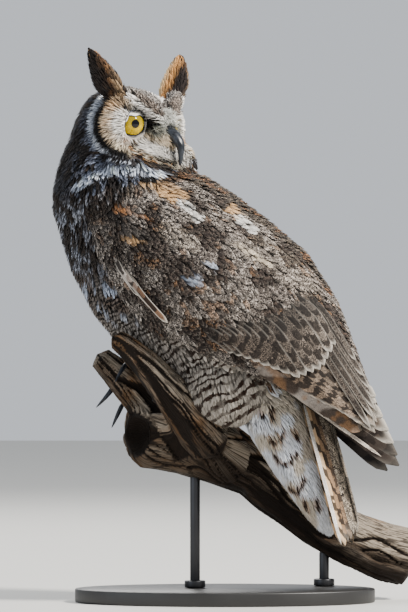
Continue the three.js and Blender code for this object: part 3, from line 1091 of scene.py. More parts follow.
# ---- markings
WHITE = tint(232, 229, 224)
COOL_WHITE = tint(190, 200, 216)
CREAM = tint(226, 212, 190)
BUFF = tint(214, 178, 132)
TAWNY = tint(184, 132, 82)
GREY = tint(142, 134, 126)
BROWN = tint(84, 62, 46)
SOOT = tint(44, 37, 34)
BLACK = tint(20, 17, 17)


def near_path(points: Array, path: Sequence[tuple[float, float]]) -> tuple[Array, Array]:
    """How far points lie from a bent line.

    Args:
        points: places in a flat chart.
        path: the line's corners in the same chart.

    Returns:
        The least distance and the share of the line passed there, 0 to 1.
    """
    corners = np.array(path, float)
    best = np.full(len(points), np.inf)
    share = np.zeros(len(points))
    for i, (a, b) in enumerate(zip(corners[:-1], corners[1:])):
        edge = b - a
        t = np.clip(((points - a) @ edge) / (edge @ edge), 0, 1)
        gap = np.linalg.norm(points - a - t[:, None] * edge, axis=1)
        closer = gap < best
        best = np.where(closer, gap, best)
        share = np.where(closer, (i + t) / (len(corners) - 1), share)
    return best, share


@dataclass
class Dress:
    """What each feather looks like: its colours, marks and size.

    tone and mark are colours; bars is dark bands along the vane, strength how strong they are,
    order how well they line up with those of other feathers; speckle is fine wavy lines; edge a
    pale rim; length, width and spacing are millimetres; wild is how far it strays from the lie,
    point how narrow its tip is and lift how far the tip stands above the form.
    """

    tone: Array
    mark: Array
    bars: Array
    strength: Array
    order: Array
    speckle: Array
    edge: Array
    length: Array
    width: Array
    spacing: Array
    wild: Array
    point: Array
    lift: Array

    @classmethod
    def plain(cls, count: int) -> "Dress":
        """A dark plain coat of middling feathers.

        Args:
            count: how many feathers.

        Returns:
            Their looks.
        """
        plain = dict(bars=2.0, strength=0.5, order=0.0, speckle=0.4, edge=0.1, length=16.0, width=7.0)
        plain |= dict(spacing=5.0, wild=0.14, point=0.3, lift=0.6)
        numbers = {name: np.full(count, value) for name, value in plain.items()}
        return cls(np.tile(SOOT, (count, 1)), np.tile(BLACK, (count, 1)), **numbers)

    def lay(self, share: Array, **values: Array | float) -> None:
        """Brings values over what is there.

        Args:
            share: 0 to 1 for each feather.
            values: new values by field name.
        """
        share = np.clip(share.astype(float), 0, 1)
        for name, value in values.items():
            old = getattr(self, name)
            weight = share[:, None] if old.ndim == 2 else share
            setattr(self, name, old + (np.asarray(value) - old) * weight)


@dataclass(frozen=True)
class Fleck:
    """A patch of its own colour on the body's side, along a line in the side view."""

    path: tuple[tuple[float, float], ...]
    radius: float
    tone: tuple[float, float, float]
    share: float = 0.9
    speckle: float = 0.2


@dataclass(frozen=True)
class FaceMap:
    """Landmarks of the face: millimetres across and up from the eye's middle in the face's chart."""

    disc_centre: tuple[float, float] = (-2, -2)
    rim_radius: float = 32.3
    rim_width: float = 7.0
    band_radius: float = 38.0
    brow: tuple = ((-14, 34), (-2, 27), (8, 19), (20, 9), (34, 2.5), (45, 0))
    brow_shade: tuple = ((-6, 18), (4, 14.5), (16, 8.5), (22, 5))
    bristle_centre: tuple[float, float, float] = (46, 0, 6)
    moustache: tuple = ((10, -23), (28, -31), (47, -41))
    streaks: tuple = ((6, -27), (18, -36), (31, -42), (62, -47))
    throat: tuple = ((-54, -66), (-40, -58), (-20, -50), (4, -50), (22, -51), (40, -56), (60, -57))
    collar: tuple = ((-26, -36), (-12, -41), (6, -42))


class Markings:
    """The plumage's pattern as a function of the place on the bird."""

    face = FaceMap()
    chevrons = (
        ((35, 187), (39, 182)),
        ((48, 190), (47, 182)),
        ((45, 161), (51, 156), (56, 163), (59, 169)),
        ((50, 145), (54, 138), (60, 136), (66, 140), (72, 147)),
        ((65, 113), (72, 108), (76, 115), (79, 122)),
        ((79, 101), (82, 92)),
        ((91, 102), (94, 92)),
        ((70, 168), (73, 161)),
    )
    flecks = (
        Fleck(((-46, 399), (-34, 391), (-24, 381)), 4.5, WHITE),
        Fleck(((-62, 408), (-50, 402)), 5.0, BUFF),
        Fleck(((8, 392), (16, 384)), 5.0, BUFF),
        Fleck(((17, 382), (27, 371)), 5.5, WHITE),
        Fleck(((12, 356), (26, 346), (42, 336)), 3.2, CREAM, 0.75),
        Fleck(((-129, 424), (-118, 410)), 7.0, CREAM, 0.85),
        Fleck(((-92, 420), (-66, 416), (-42, 405)), 6.0, BUFF, 0.8),
        Fleck(((-80, 421), (-74, 418)), 4.0, WHITE, 0.7),
        # painted shade: a black patch where the front of the wing lies in shadow
        Fleck(((-112, 392), (-96, 372), (-78, 362)), 9.0, BLACK, 0.85),
        Fleck(((-106, 390), (-88, 386), (-74, 380)), 2.2, TAWNY, 0.6),
        Fleck(((-100, 361), (-86, 357), (-76, 360)), 2.4, BUFF, 0.7),
        Fleck(((-14, 334), (-9, 332)), 3.4, COOL_WHITE, 0.85),
        Fleck(((-32, 321), (-25, 318)), 4.4, COOL_WHITE, 0.85),
        Fleck(((-58, 372), (-44, 362), (-30, 356)), 8.0, CREAM, 0.25, 0.9),
        Fleck(((30, 352), (60, 336), (84, 306)), 14.0, CREAM, 0.15, 1.0),
    )

    def dress(self, s: Spots) -> Dress:
        """The coat at some spots.

        Args:
            s: the spots.

        Returns:
            What the feathers there look like.
        """
        d = Dress.plain(len(s))
        for tract in (self._trunk, self._vent, self._leg, self._wing, self._neck, self._head, self._tuft):
            tract(s, d)
        return d

    def _mottle(self, s: Spots, cell: float, low: float, high: float, seed: int) -> Array:
        """Blotches: 0 below low and 1 above high in noise of that cell in millimetres."""
        return ramp(hashed(s.points, cell * MM, seed), low, high)

    def _trunk(self, s: Spots, d: Dress) -> None:
        """Breast, belly, flanks and mantle.

        Args:
            s: the spots.
            d: the coat, which it changes.
        """
        here = s.of(Part.TRUNK) | s.of(Part.THIGH)
        x, z = s.seen.T
        top = ramp(s.body_normal[:, 0] * 0.7 + s.body_normal[:, 2], 0.1, 0.45) * here
        belly = here * ramp(z, 345, 300) * (1 - top)
        breast = here * (1 - top) * (1 - belly)
        pale = self._mottle(s, 6.5, 0.5, 0.66, 3)
        d.lay(breast, tone=tint(66, 54, 47), mark=BLACK, bars=2.4, strength=0.75, speckle=0.6, edge=0.1)
        d.lay(breast, length=13.0, width=3.0, spacing=2.4, point=0.55, wild=0.22)
        d.lay(breast * pale * 0.85, tone=tint(184, 182, 186))
        # painted light: the breast's pale mottles turn bluer near its front edge, for the cool light that
        # falls there
        front = ramp(x - (-0.45 * (z - 420) - 166), 30, 5)
        d.lay(here * (1 - top) * front * 0.85 * pale, tone=tint(186, 191, 204))
        d.lay(belly, tone=tint(130, 122, 116), mark=tint(26, 20, 18), bars=2.7, strength=1.0, order=1.0)
        d.lay(belly, speckle=0.1, edge=0.05, length=14.0, width=3.2, spacing=2.7, point=0.55, wild=0.14)
        rust = self._mottle(s, 14, 0.45, 0.65, 9)
        d.lay(belly * rust * 0.6, tone=tint(110, 86, 68))
        d.lay(belly * self._mottle(s, 8, 0.66, 0.74, 10), tone=tint(196, 204, 220), strength=0.2)
        d.lay(top, tone=tint(140, 128, 115), mark=tint(26, 20, 18), bars=1.6, strength=0.75, speckle=1.0)
        d.lay(top, edge=0.1, length=16.0, width=6.0, spacing=3.7, point=0.25, wild=0.14)
        d.lay(top * self._mottle(s, 12, 0.55, 0.66, 5) * 0.6, tone=TAWNY)
        flank = here * ramp(z, 300, 262) * (1 - top)
        d.lay(flank, tone=tint(164, 157, 150), mark=tint(50, 36, 27), bars=1.6, strength=1.0, order=1.0)
        d.lay(flank, length=14.0, width=3.0, spacing=2.6, wild=0.12)

    def _vent(self, s: Spots, d: Dress) -> None:
        """White down under the tail, with a few brown arrowheads.

        Args:
            s: the spots.
            d: the coat, which it changes.
        """
        behind = s.of(Part.TRUNK) & (s.body[:, 0] > 30) & (s.body[:, 2] < 196)
        low = (s.of(Part.VENT) | behind) * 1.0
        # painted shade: the white down is given a greyer tone, as it lies under the body and tail
        d.lay(low, tone=tint(196, 187, 174), mark=tint(70, 44, 28), bars=1.0, strength=0.0, speckle=0.0)
        d.lay(low, edge=0.0, length=12.0, width=1.7, spacing=1.6, point=0.85, wild=0.12, order=0.0)
        bright = self._mottle(s, 12, 0.48, 0.66, 13)
        d.lay(low * bright * 0.8, tone=tint(226, 230, 238))
        gap = np.min([near_path(s.seen, chevron)[0] for chevron in self.chevrons], axis=0)
        d.lay(low * ramp(gap, 3.6, 2.4) * 0.6, tone=tint(150, 118, 88))
        d.lay(low * ramp(gap, 2.0, 1.3), tone=tint(52, 33, 22))

    def _leg(self, s: Spots, d: Dress) -> None:
        """Thigh, shank and feathered toes.

        Args:
            s: the spots.
            d: the coat, which it changes.
        """
        thigh = s.of(Part.THIGH) * 1.0
        d.lay(thigh, tone=tint(174, 167, 158), mark=tint(58, 40, 29), bars=1.4, strength=1.0, order=1.0)
        d.lay(thigh, speckle=0.05, length=14.0, width=3.0, spacing=2.6, wild=0.12, edge=0.0)
        leg = s.of(Part.LEG) * 1.0
        d.lay(leg, tone=tint(206, 192, 172), mark=BROWN, bars=1.0, strength=0.12, speckle=0.0, edge=0.0)
        d.lay(leg, length=6.5, width=1.4, spacing=1.6, point=0.9, wild=0.22, lift=0.5)

    def _wing(self, s: Spots, d: Dress) -> None:
        """Wing coverts: wavy grey and brown, small at the bend and larger behind.

        Args:
            s: the spots.
            d: the coat, which it changes.
        """
        here = s.of(Part.WING) * 1.0
        x, z = s.seen.T
        behind = ramp(x * 0.74 - (z - 340) * 0.67, -90, 10)
        light = self._mottle(s, 11, 0.42, 0.62, 21)
        dark = self._mottle(s, 17, 0.5, 0.64, 22)
        d.lay(here, tone=tint(200, 190, 181), mark=tint(34, 26, 23), bars=1.8, strength=0.6, speckle=1.0)
        d.lay(here, edge=0.15, order=0.0, point=0.3, wild=0.18, lift=0.9)
        d.lay(here, length=11 + 7 * behind, width=3.6 + 2.6 * behind, spacing=2.6 + 1.2 * behind)
        d.lay(here * behind * 0.6, tone=tint(164, 153, 144))
        d.lay(here * light * 0.35, tone=tint(222, 213, 203))
        d.lay(here * dark * 0.9, tone=tint(82, 67, 57), strength=0.9)
        d.lay(here * self._mottle(s, 7, 0.7, 0.76, 23) * 0.5, tone=tint(190, 148, 106))
        # painted shade: the wing's front part, towards the bend, is darker where it lies in shadow
        shoulder = here * ramp(x + (400 - z) * 0.35, -70, -95) * ramp(z, 340, 365)
        d.lay(shoulder * 0.45, tone=tint(112, 98, 88))
        under = here * ramp(s.body_normal[:, 1] * np.sign(-s.body[:, 1]), 0.1, 0.5)
        d.lay(under, tone=tint(170, 158, 144), speckle=0.1, length=22.0, width=12.0, spacing=9.0, lift=-1.0)
        self._flecks(s, d, np.maximum(here, s.of(Part.TRUNK) * ramp(s.body_normal[:, 2], 0.1, 0.3)))

    def _flecks(self, s: Spots, d: Dress, here: Array) -> None:
        """Spots of white and buff on the shoulder and back, and a black patch of painted shade on the front
        of the wing.

        Args:
            s: the spots.
            d: the coat, which it changes.
            here: how far each spot belongs there.
        """
        ragged = (hashed(s.points, 7 * MM, 31) - 0.5) * 5
        for fleck in self.flecks:
            gap, _ = near_path(s.seen, fleck.path)
            share = here * ramp(gap + ragged, fleck.radius + 1.5, fleck.radius - 2.0) * fleck.share
            d.lay(share, tone=np.array(fleck.tone), speckle=fleck.speckle, strength=0.1)

    def _neck(self, s: Spots, d: Dress) -> None:
        """Neck and nape: dark and mottled, with white streaks below the face, cooled by a painted blue cast
        of sky light.

        Args:
            s: the spots.
            d: the coat, which it changes.
        """
        here = (s.of(Part.NECK) | s.of(Part.HEAD)) * 1.0
        streak = self._mottle(s, 7, 0.54, 0.62, 41)
        tan = self._mottle(s, 10, 0.52, 0.64, 42)
        d.lay(here, tone=tint(50, 44, 43), mark=BLACK, bars=2.2, strength=0.6, speckle=0.55, edge=0.08)
        d.lay(here, length=12.0, width=2.9, spacing=2.3, point=0.55, wild=0.2, order=0.0)
        ahead = ramp(s.head[:, 0], -25, 5)
        d.lay(here * tan * 0.5 * (0.4 + 0.6 * ahead), tone=tint(108, 88, 72))
        # grey-white streaks with a painted blue cast of sky light in the shade
        d.lay(here * streak * (0.15 + 0.6 * ahead), tone=tint(160, 168, 188))
        gap, _ = near_path(s.face, self.face.throat)
        chin = here * ramp(gap, 5.0, 2.6) * ramp(s.front, -0.1, 0.15)
        # the throat's white carries the same painted blue cast of sky light
        d.lay(chin, tone=tint(226, 234, 248), mark=tint(70, 72, 84), strength=0.45, bars=1.4, speckle=0.1)
        d.lay(chin, width=1.8, spacing=1.6, length=8.5, point=0.8)
        cheek = here * ramp(s.face[:, 0], 46, 51) * ramp(s.face[:, 1], -48, -42)
        d.lay(cheek, tone=WHITE, strength=0.1, speckle=0.0, length=9.0, width=1.6, spacing=1.6)

    def _head(self, s: Spots, d: Dress) -> None:
        """Crown, brows, discs, rims, bristles and chin.

        Args:
            s: the spots.
            d: the coat, which it changes.
        """
        f = self.face
        head = s.of(Part.HEAD) * 1.0
        seen = ramp(s.front, -0.05, 0.12)
        face = head * seen
        flat = s.face
        across, up = flat.T
        polar = flat - np.array(f.disc_centre)
        rho = np.linalg.norm(polar, axis=1)
        angle = np.degrees(np.arctan2(polar[:, 1], polar[:, 0])) % 360
        height, forward = s.head[:, 2], s.head[:, 0]
        brow_gap, along = near_path(flat, f.brow)
        brow_line = np.interp(across, [-40, -14, -2, 8, 20, 34, 45], [48, 34, 27, 19, 9, 2.5, 0])
        above = ramp(up - brow_line, -1, 2)
        crown = head * ramp(height, 16, 24) * np.maximum(above, 1 - seen)
        crown = np.maximum(crown, head * above * seen)
        d.lay(crown, tone=tint(206, 199, 192), mark=tint(30, 26, 26), bars=2.2, strength=0.75, speckle=0.9)
        d.lay(crown, edge=0.1, length=8.0, width=2.7, spacing=2.0, wild=0.3, point=0.3)
        # painted shade: the back of the crown is darker, where the head turns away from the light
        d.lay(crown * ramp(forward, -5, -35) * 0.85, tone=tint(70, 61, 56))
        d.lay(crown * ramp(forward, 34, 46) * 0.5, tone=tint(150, 118, 88))
        below_eyes = ramp(across, -20, 0) * (1 - above) * ramp(up, -38, -30)
        disc = np.maximum(face * ramp(rho, 34, 31) * (1 - above), face * below_eyes)
        outer = ramp(rho, 15, 27)
        side = ramp(np.abs(angle - 170), 75, 30)
        d.lay(disc, tone=blend(WHITE, CREAM * 0.95, outer), mark=BROWN, bars=0.6, strength=0.1, speckle=0.0)
        d.lay(disc, edge=0.0, length=11.0 - 4 * outer, width=1.15, spacing=1.35)
        d.lay(disc, wild=0.12, point=0.95, lift=0.6)
        streaky = self._mottle(s, 4, 0.42, 0.62, 51)
        d.lay(disc * outer * side * (0.25 + 0.45 * streaky), tone=tint(208, 174, 134))
        under = disc * ramp(np.abs(polar[:, 1] + 16), 6, 2) * ramp(np.abs(polar[:, 0] - 6), 18, 8)
        d.lay(under * (0.35 + 0.5 * streaky), tone=tint(190, 148, 106))
        top = disc * ramp(polar[:, 1], 15, 20) * ramp(polar[:, 0], 4, -4)
        d.lay(top * 0.5, tone=tint(206, 172, 132))
        rim = ramp(np.abs(rho - f.rim_radius), f.rim_width / 2 + 0.9, f.rim_width / 2 - 0.9)
        rim = face * (rim * ramp(np.abs(angle - 205), 74, 62))
        d.lay(rim, tone=tint(16, 13, 14), mark=BLACK, strength=0.3, speckle=0.0, edge=0.0)
        d.lay(rim, length=6.0, width=1.5, spacing=1.4, point=0.7, lift=1.0)
        ring = ramp(np.abs(rho - f.band_radius), 4.0, 1.6)
        band = np.maximum(face * ring * ramp(np.abs(angle - 205), 88, 74), s.of(Part.NECK) * seen * ring)
        band = band * (0.78 + 0.22 * streaky)
        d.lay(band, tone=tint(222, 227, 236), mark=tint(60, 60, 68), bars=1.2, strength=0.2, speckle=0.0)
        d.lay(band, length=6.0, width=1.6, spacing=1.5, point=0.7, lift=1.0)
        # painted shadow: a black line of feathers under the brow, where it shades the eye
        shade, _ = near_path(flat, f.brow_shade)
        d.lay(face * ramp(shade, 2.8, 1.2), tone=BLACK, strength=0.0, length=7.0)
        brow = ramp(brow_gap, 4.6 - along * 0.8, 3.0 - along * 0.6)
        brow = face * brow * ramp(across, -20, -10)
        d.lay(brow, tone=WHITE, mark=GREY, strength=0.1, bars=1.0, speckle=0.0, edge=0.0)
        d.lay(brow, length=9.0, width=1.5, spacing=1.45, point=0.9, wild=0.1, lift=1.4)
        lore = face * ramp(np.linalg.norm(flat - (30, -6), axis=1), 14, 9) * (1 - brow)
        d.lay(lore, tone=tint(168, 168, 158), mark=SOOT, bars=1.0, strength=0.25, point=1.0)
        raised = 1.2 + 3.0 * ramp(across, 24, 34)
        d.lay(lore, length=12.0, width=1.0, spacing=1.25, wild=0.15, lift=raised)
        nose = head * ramp(np.linalg.norm(s.head - f.bristle_centre, axis=1), 17, 12)
        d.lay(nose, tone=tint(214, 214, 208), mark=SOOT, bars=1.0, strength=0.2, speckle=0.0, point=1.0)
        d.lay(nose, length=13.0, width=1.0, spacing=1.2, wild=0.2, lift=5.5, edge=0.0)
        # dark feathers at the eye's inner corner: painted shade in the corner, standing also for the eye's
        # dark fold there
        corner = face * ramp(np.linalg.norm((flat - (20, -1)) / (5.0, 9.0), axis=1), 1.2, 0.8)
        d.lay(corner, tone=tint(30, 26, 25))
        left = ramp(s.head[:, 1], 2, 8)
        far_cheek = left * ramp(across, 14, 24) * ramp(up, -14, -22)
        white_chin = np.maximum(ramp(across, 44, 50), far_cheek)
        white_chin = face * white_chin * ramp(up, -50, -44) * (1 - above)
        d.lay(white_chin, tone=WHITE, strength=0.1, length=9.0, width=1.6, spacing=1.6)
        white_lip, _ = near_path(flat, f.moustache)
        d.lay(face * ramp(white_lip, 10.0, 7.0), tone=WHITE, strength=0.0, length=13.0, width=1.3)
        gap, _ = near_path(flat, f.streaks)
        gold = face * ramp(gap, 6.5, 4.0) * (1 - left * ramp(up, -47, -42))
        d.lay(gold, tone=blend(tint(214, 206, 190), tint(176, 132, 78), streaky), strength=0.0, length=15.0)
        d.lay(gold * self._mottle(s, 3, 0.46, 0.52, 52), tone=tint(30, 22, 18))
        gap, _ = near_path(flat, f.collar)
        d.lay(face * ramp(gap, 6.0, 4.0) * ramp(rho, 33, 36), tone=tint(40, 33, 32), speckle=0.3)

    def _tuft(self, s: Spots, d: Dress) -> None:
        """Ear tufts: black and tawny, long and pointed.

        Args:
            s: the spots.
            d: the coat, which it changes.
        """
        here = s.of(Part.TUFT) * 1.0
        forward, aside = s.head[:, 0], s.head[:, 1]
        outward = STANCE.turn(s.normals, -STANCE.head_turn)[:, 1] * np.sign(aside)
        inner = ramp(outward, 0.1, -0.3)
        tan = self._mottle(s, 6, 0.42, 0.6, 61)
        d.lay(here, tone=tint(52, 42, 38), mark=BLACK, bars=1.4, strength=0.5, speckle=0.3, edge=0.0)
        d.lay(here, length=15.0, width=3.2, spacing=2.5, point=0.8, wild=0.12, lift=0.8, order=0.0)
        d.lay(here * (1 - inner) * ramp(forward, 14, 27) * (0.15 + 0.6 * tan), tone=tint(160, 122, 84))
        d.lay(here * (1 - inner) * ramp(forward, 25, 33) * (0.2 + 0.5 * tan), tone=tint(206, 182, 150))
        d.lay(here * inner * ramp(forward, 24, 14), tone=tint(224, 172, 110), strength=0.1, speckle=0.1)
        d.lay(here * inner * ramp(forward, 14, 2), tone=tint(240, 214, 172), strength=0.0)


class Lie:
    """Which way the coat lies."""

    bill_base = np.array([50.0, 0.0, 2.0])
    brow_sweep = (-0.85, 0.55)
    whisker_sweep = (0.9, -0.6)

    def flow(self, s: Spots) -> Array:
        """Unit vectors along the lie, flat on the form.

        Args:
            s: the spots.

        Returns:
            One direction for each spot.
        """
        way = self._along([0.3, 0.0, -0.95], [0.66, 0.0, -0.75], ramp(s.body[:, 2], 400, 300))
        hind = ramp(s.body[:, 0] + (s.body[:, 2] - 300) * 0.9, 0, 130)
        toes = ramp(s.points[:, 2] / MM, 240, 222)
        neck = unit(np.array([0.12, 0.0, -1.0]))
        tracts = {
            Part.THIGH: self._along([0.18, 0.0, -1.0]),
            Part.LEG: unit(blend([-0.3, 0.0, -0.95], [-0.85, 0.0, -0.5], toes)),
            Part.VENT: self._along([0.4, 0.0, -0.92]),
            Part.WING: self._along([0.76, 0.0, -0.65], [0.52, 0.0, -0.85], hind),
            Part.NECK: neck,
            Part.HEAD: self._head_way(s, neck),
            Part.TUFT: self._tuft_way(s),
        }
        for part, other in tracts.items():
            way = np.where(s.of(part)[:, None], other, way)
        return flat_on(way, s.normals)

    @staticmethod
    def _along(low: Sequence[float], high: Sequence[float] = (), share: Array | float = 0.0) -> Array:
        """A direction of the body frame, or one that turns towards another as a share grows."""
        return STANCE.turn(unit(blend(low, high or low, share)), STANCE.body_turn)

    def _head_way(self, s: Spots, neck: Array) -> Array:
        """Away from the bill, round the discs from each eye, and down behind.

        Args:
            s: the spots.
            neck: the neck's direction.

        Returns:
            One direction for each spot.
        """
        away = unit(s.head - self.bill_base)
        away = STANCE.turn(away, STANCE.head_turn)
        back = ramp(s.head[:, 0], 12, -30)
        way = unit(blend(away, neck, back * 0.8))
        eyes = np.stack([STANCE.eye_place(h) for h in (1, -1)]) / MM
        gaps = np.linalg.norm(s.points[:, None] / MM - eyes[None], axis=2)
        nearest = eyes[np.argmin(gaps, axis=1)]
        radial = unit(s.points / MM - nearest)
        polar = np.linalg.norm(s.face - np.array(FaceMap.disc_centre), axis=1)
        inside = ramp(polar, 40, 30) * ramp(s.front, -0.05, 0.12) * ramp(s.face[:, 0], 26, 12)
        way = unit(blend(way, radial, inside))
        front = ramp(s.front, -0.05, 0.12)
        lore = ramp(np.linalg.norm(s.face - (30, -8), axis=1), 17, 10) * front
        lore = np.maximum(lore, ramp(np.linalg.norm(s.head - FaceMap.bristle_centre, axis=1), 18, 13))
        ahead = STANCE.turn(unit(np.array([0.8, 0.0, -0.6])), STANCE.head_turn)
        way = unit(blend(way, ahead, lore))
        brow, _ = near_path(s.face, FaceMap.brow)
        way = unit(blend(way, self._swept(s, self.brow_sweep), ramp(brow, 7, 4) * front))
        whisker, _ = near_path(s.face, FaceMap.streaks)
        lip, _ = near_path(s.face, FaceMap.moustache)
        whisker = ramp(np.minimum(whisker, lip), 9, 5) * front
        return unit(blend(way, self._swept(s, self.whisker_sweep), whisker))

    @staticmethod
    def _swept(s: Spots, sweep: tuple[float, float]) -> Array:
        """A direction across and up in the face's chart, the same on both sides of the face.

        Args:
            s: the spots.
            sweep: the direction, across and up.

        Returns:
            One direction for each spot.
        """
        across, up = sweep
        local = np.stack([np.full(len(s), across), np.zeros(len(s)), np.full(len(s), up)], axis=1)
        aside = np.sign(s.head[:, 1]) * across * 0.8
        turned = np.stack([local[:, 0] * 0.6, -aside, local[:, 2]], axis=1)
        return unit(STANCE.turn(turned, STANCE.head_turn))

    def _tuft_way(self, s: Spots) -> Array:
        """Up and out along the tuft.

        Args:
            s: the spots.

        Returns:
            One direction for each spot.
        """
        side = np.sign(s.head[:, 1])
        local = np.stack([np.full(len(s), -11.0), side * 29.0, np.full(len(s), 47.0)], axis=1)
        return STANCE.turn(unit(local), STANCE.head_turn)


# ---- vanes
@dataclass
class Plumes:
    """Many vanes with the same count of rings and columns, as arrays.

    rings holds a vane's rings of points from root to tip; each ring runs over the upper face from
    the left rim to the right one, and one more face below closes it.
    """

    rings: Array
    along: Array
    across: Array
    tone: Array
    mark: Array
    grain: Array
    home: Array

    def __len__(self) -> int:
        """How many vanes there are."""
        return len(self.rings)

    @property
    def triangle_count(self) -> int:
        """Triangles that all the vanes take."""
        _, rings, columns, _ = self.rings.shape
        return len(self) * ((rings - 1) * columns * 2 + 2 * (columns - 2))

    def pick(self, chosen: Array) -> "Plumes":
        """Some of the vanes."""
        tone, mark, grain, home = (v[chosen] for v in (self.tone, self.mark, self.grain, self.home))
        return Plumes(self.rings[chosen], self.along, self.across, tone, mark, grain, home)

    def faces(self) -> tuple[Array, Array]:
        """Corners of the four-sided faces and of the two end caps, as point numbers in one vane.

        Returns:
            The corners of both kinds.
        """
        rings, columns = len(self.along), len(self.across)
        quads = []
        for i in range(rings - 1):
            row, after = i * columns, (i + 1) * columns
            for j in range(columns - 1):
                quads.append((row + j, row + j + 1, after + j + 1, after + j))
            quads.append((row + columns - 1, row, after, after + columns - 1))
        last = (rings - 1) * columns
        caps = [(0, *range(columns - 1, 0, -1)), tuple(last + j for j in range(columns))]
        return np.array(quads), np.array(caps)


PATCH = 0.003  # width of a feather's own patch of the unwrap
PATCH_FILL = 0.92


def free_cells(home: Array) -> Array:
    """Moves places on the unwrap to the nearest free cell of a grid one patch wide.

    Args:
        home: the places.

    Returns:
        The middles of their cells.
    """
    taken = set()
    out = np.empty_like(home)
    steps = range(-9, 10)
    spiral = sorted(((i, j) for i in steps for j in steps), key=lambda step: step[0] ** 2 + step[1] ** 2)
    for n, (a, b) in enumerate(np.floor(home / PATCH).astype(int).tolist()):
        for i, j in spiral:
            if (a + i, b + j) not in taken:
                taken.add((a + i, b + j))
                break
        out[n] = ((a + i + 0.5) * PATCH, (b + j + 0.5) * PATCH)
    return out


def vane_mesh(name: str, groups: Sequence[Plumes], material: bpy.types.Material) -> bpy.types.Object:
    """One mesh object of many vanes.

    Args:
        name: the object's name.
        groups: the vanes.
        material: their finish.

    Returns:
        The object, with the maps Vane and OFBake and the attributes tone, mark and grain.
    """
    points, corners, sizes, vane_uv, bake_uv, kinds = [], [], [], [], [], []
    colours: dict[str, list[Array]] = {"tone": [], "mark": [], "grain": []}
    homes = free_cells(np.concatenate([g.home for g in groups]))
    base = used = 0
    for g in groups:
        count, rings, columns, _ = g.rings.shape
        each = rings * columns
        points.append(g.rings.reshape(-1, 3))
        quads, caps = g.faces()
        starts = base + np.arange(count)[:, None, None] * each
        local_uv = np.stack(np.meshgrid(g.across, g.along, indexing="xy"), axis=-1).reshape(-1, 2)
        home = homes[used : used + count]
        for shape in (quads, caps):
            corners.append((starts + shape).reshape(-1))
            sizes.append(np.full(count * len(shape), shape.shape[1]))
            uv = np.tile(local_uv[shape.reshape(-1)], (count, 1))
            vane_uv.append(uv)
            bake_uv.append(np.repeat(home, shape.size, axis=0) + (uv - 0.5) * PATCH * PATCH_FILL)
        for key in colours:
            colours[key].append(np.repeat(getattr(g, key), each, axis=0))
        kind = np.ones((rings, columns), np.int8)
        kind[:, 0], kind[:, -1] = 0, 2
        kinds.append(np.tile(kind.reshape(-1), count))
        base += count * each
        used += count
    mesh = bpy.data.meshes.new(name)
    corner = np.concatenate(corners).astype(np.int32)
    size = np.concatenate(sizes)
    mesh.vertices.add(base)
    mesh.vertices.foreach_set("co", np.concatenate(points).astype(np.float32).ravel())
    mesh.loops.add(len(corner))
    mesh.loops.foreach_set("vertex_index", corner)
    mesh.polygons.add(len(size))
    mesh.polygons.foreach_set("loop_start", np.concatenate([[0], np.cumsum(size)[:-1]]).astype(np.int32))
    mesh.update(calc_edges=True)
    for key, values in (("Vane", vane_uv), ("OFBake", bake_uv)):
        layer = mesh.uv_layers.new(name=key)
        layer.data.foreach_set("uv", np.concatenate(values).astype(np.float32).ravel())
    for key, values in colours.items():
        stacked = np.concatenate(values)
        add_colour(mesh, key, stacked if stacked.shape[1] == 4 else with_alpha(stacked, 0.0))
    kind = np.concatenate(kinds)[rows_of(mesh.edges, "vertices", 2, np.int32)]
    sharp = (kind[:, 0] == kind[:, 1]) & (kind[:, 0] != 1)
    layer = mesh.attributes.new("sharp_edge", "BOOLEAN", "EDGE")
    layer.data.foreach_set("value", sharp)
    mesh.materials.append(material)
    return placed(name, mesh)


@dataclass(frozen=True)
class VaneShape:
    """How a vane's width, height and curve run from root to tip."""

    along: tuple[float, ...] = (0.0, 0.3, 0.6, 0.86, 1.0)
    blunt: tuple[float, ...] = (0.35, 0.85, 1.0, 0.8, 0.3)
    sharp: tuple[float, ...] = (0.5, 0.8, 0.62, 0.3, 0.04)
    thickness: float = 0.09
    camber: float = 0.14


SHORT = VaneShape()
BRISTLE = VaneShape((0.0, 0.55, 1.0), (0.7, 1.0, 0.3), (0.8, 0.8, 0.08), 0.35, 0.1)


def spread(
    spine: Array, up: Array, way: Array, widths: Array, columns: int, arches: Sequence[Array]
) -> Array:
    """Vanes' points round their spines.

    Args:
        spine: middle of each ring.
        up: normal at each ring.
        way: direction along the vane at each ring.
        widths: full width at each ring.
        columns: points across a ring.
        arches: how far the middle stands over the rims' plane, and how far the rims curl down.

    Returns:
        The rings.
    """
    thick, camber = arches
    side = unit(np.cross(up, way))
    share = np.linspace(-1, 1, columns)
    offset = -share[None, None, :, None] * side[:, :, None, :] * widths[:, :, None, None] / 2
    arch = thick[:, None, None] * (1 - share**2) - camber[:, None, None] * share**2
    scale = (widths / np.maximum(widths.max(axis=1, keepdims=True), 1e-9))[:, :, None]
    return spine[:, :, None, :] + offset + (arch * scale)[..., None] * up[:, :, None, :]


class Region(Enum):
    """Pieces that the short coat is shared out among, with the slot of each."""

    FACE = "face", "plumage_face"
    CROWN = "crown", "plumage_face"
    NECK = "neck", "plumage_breast"
    BREAST = "breast", "plumage_breast"
    BELLY = "belly", "plumage_breast"
    BACK = "back", "plumage_back"
    WING_LEFT = "wing_left", "plumage_back"
    WING_RIGHT = "wing_right", "plumage_back"
    LEGS = "legs", "plumage_pale"
    VENT = "vent", "plumage_pale"


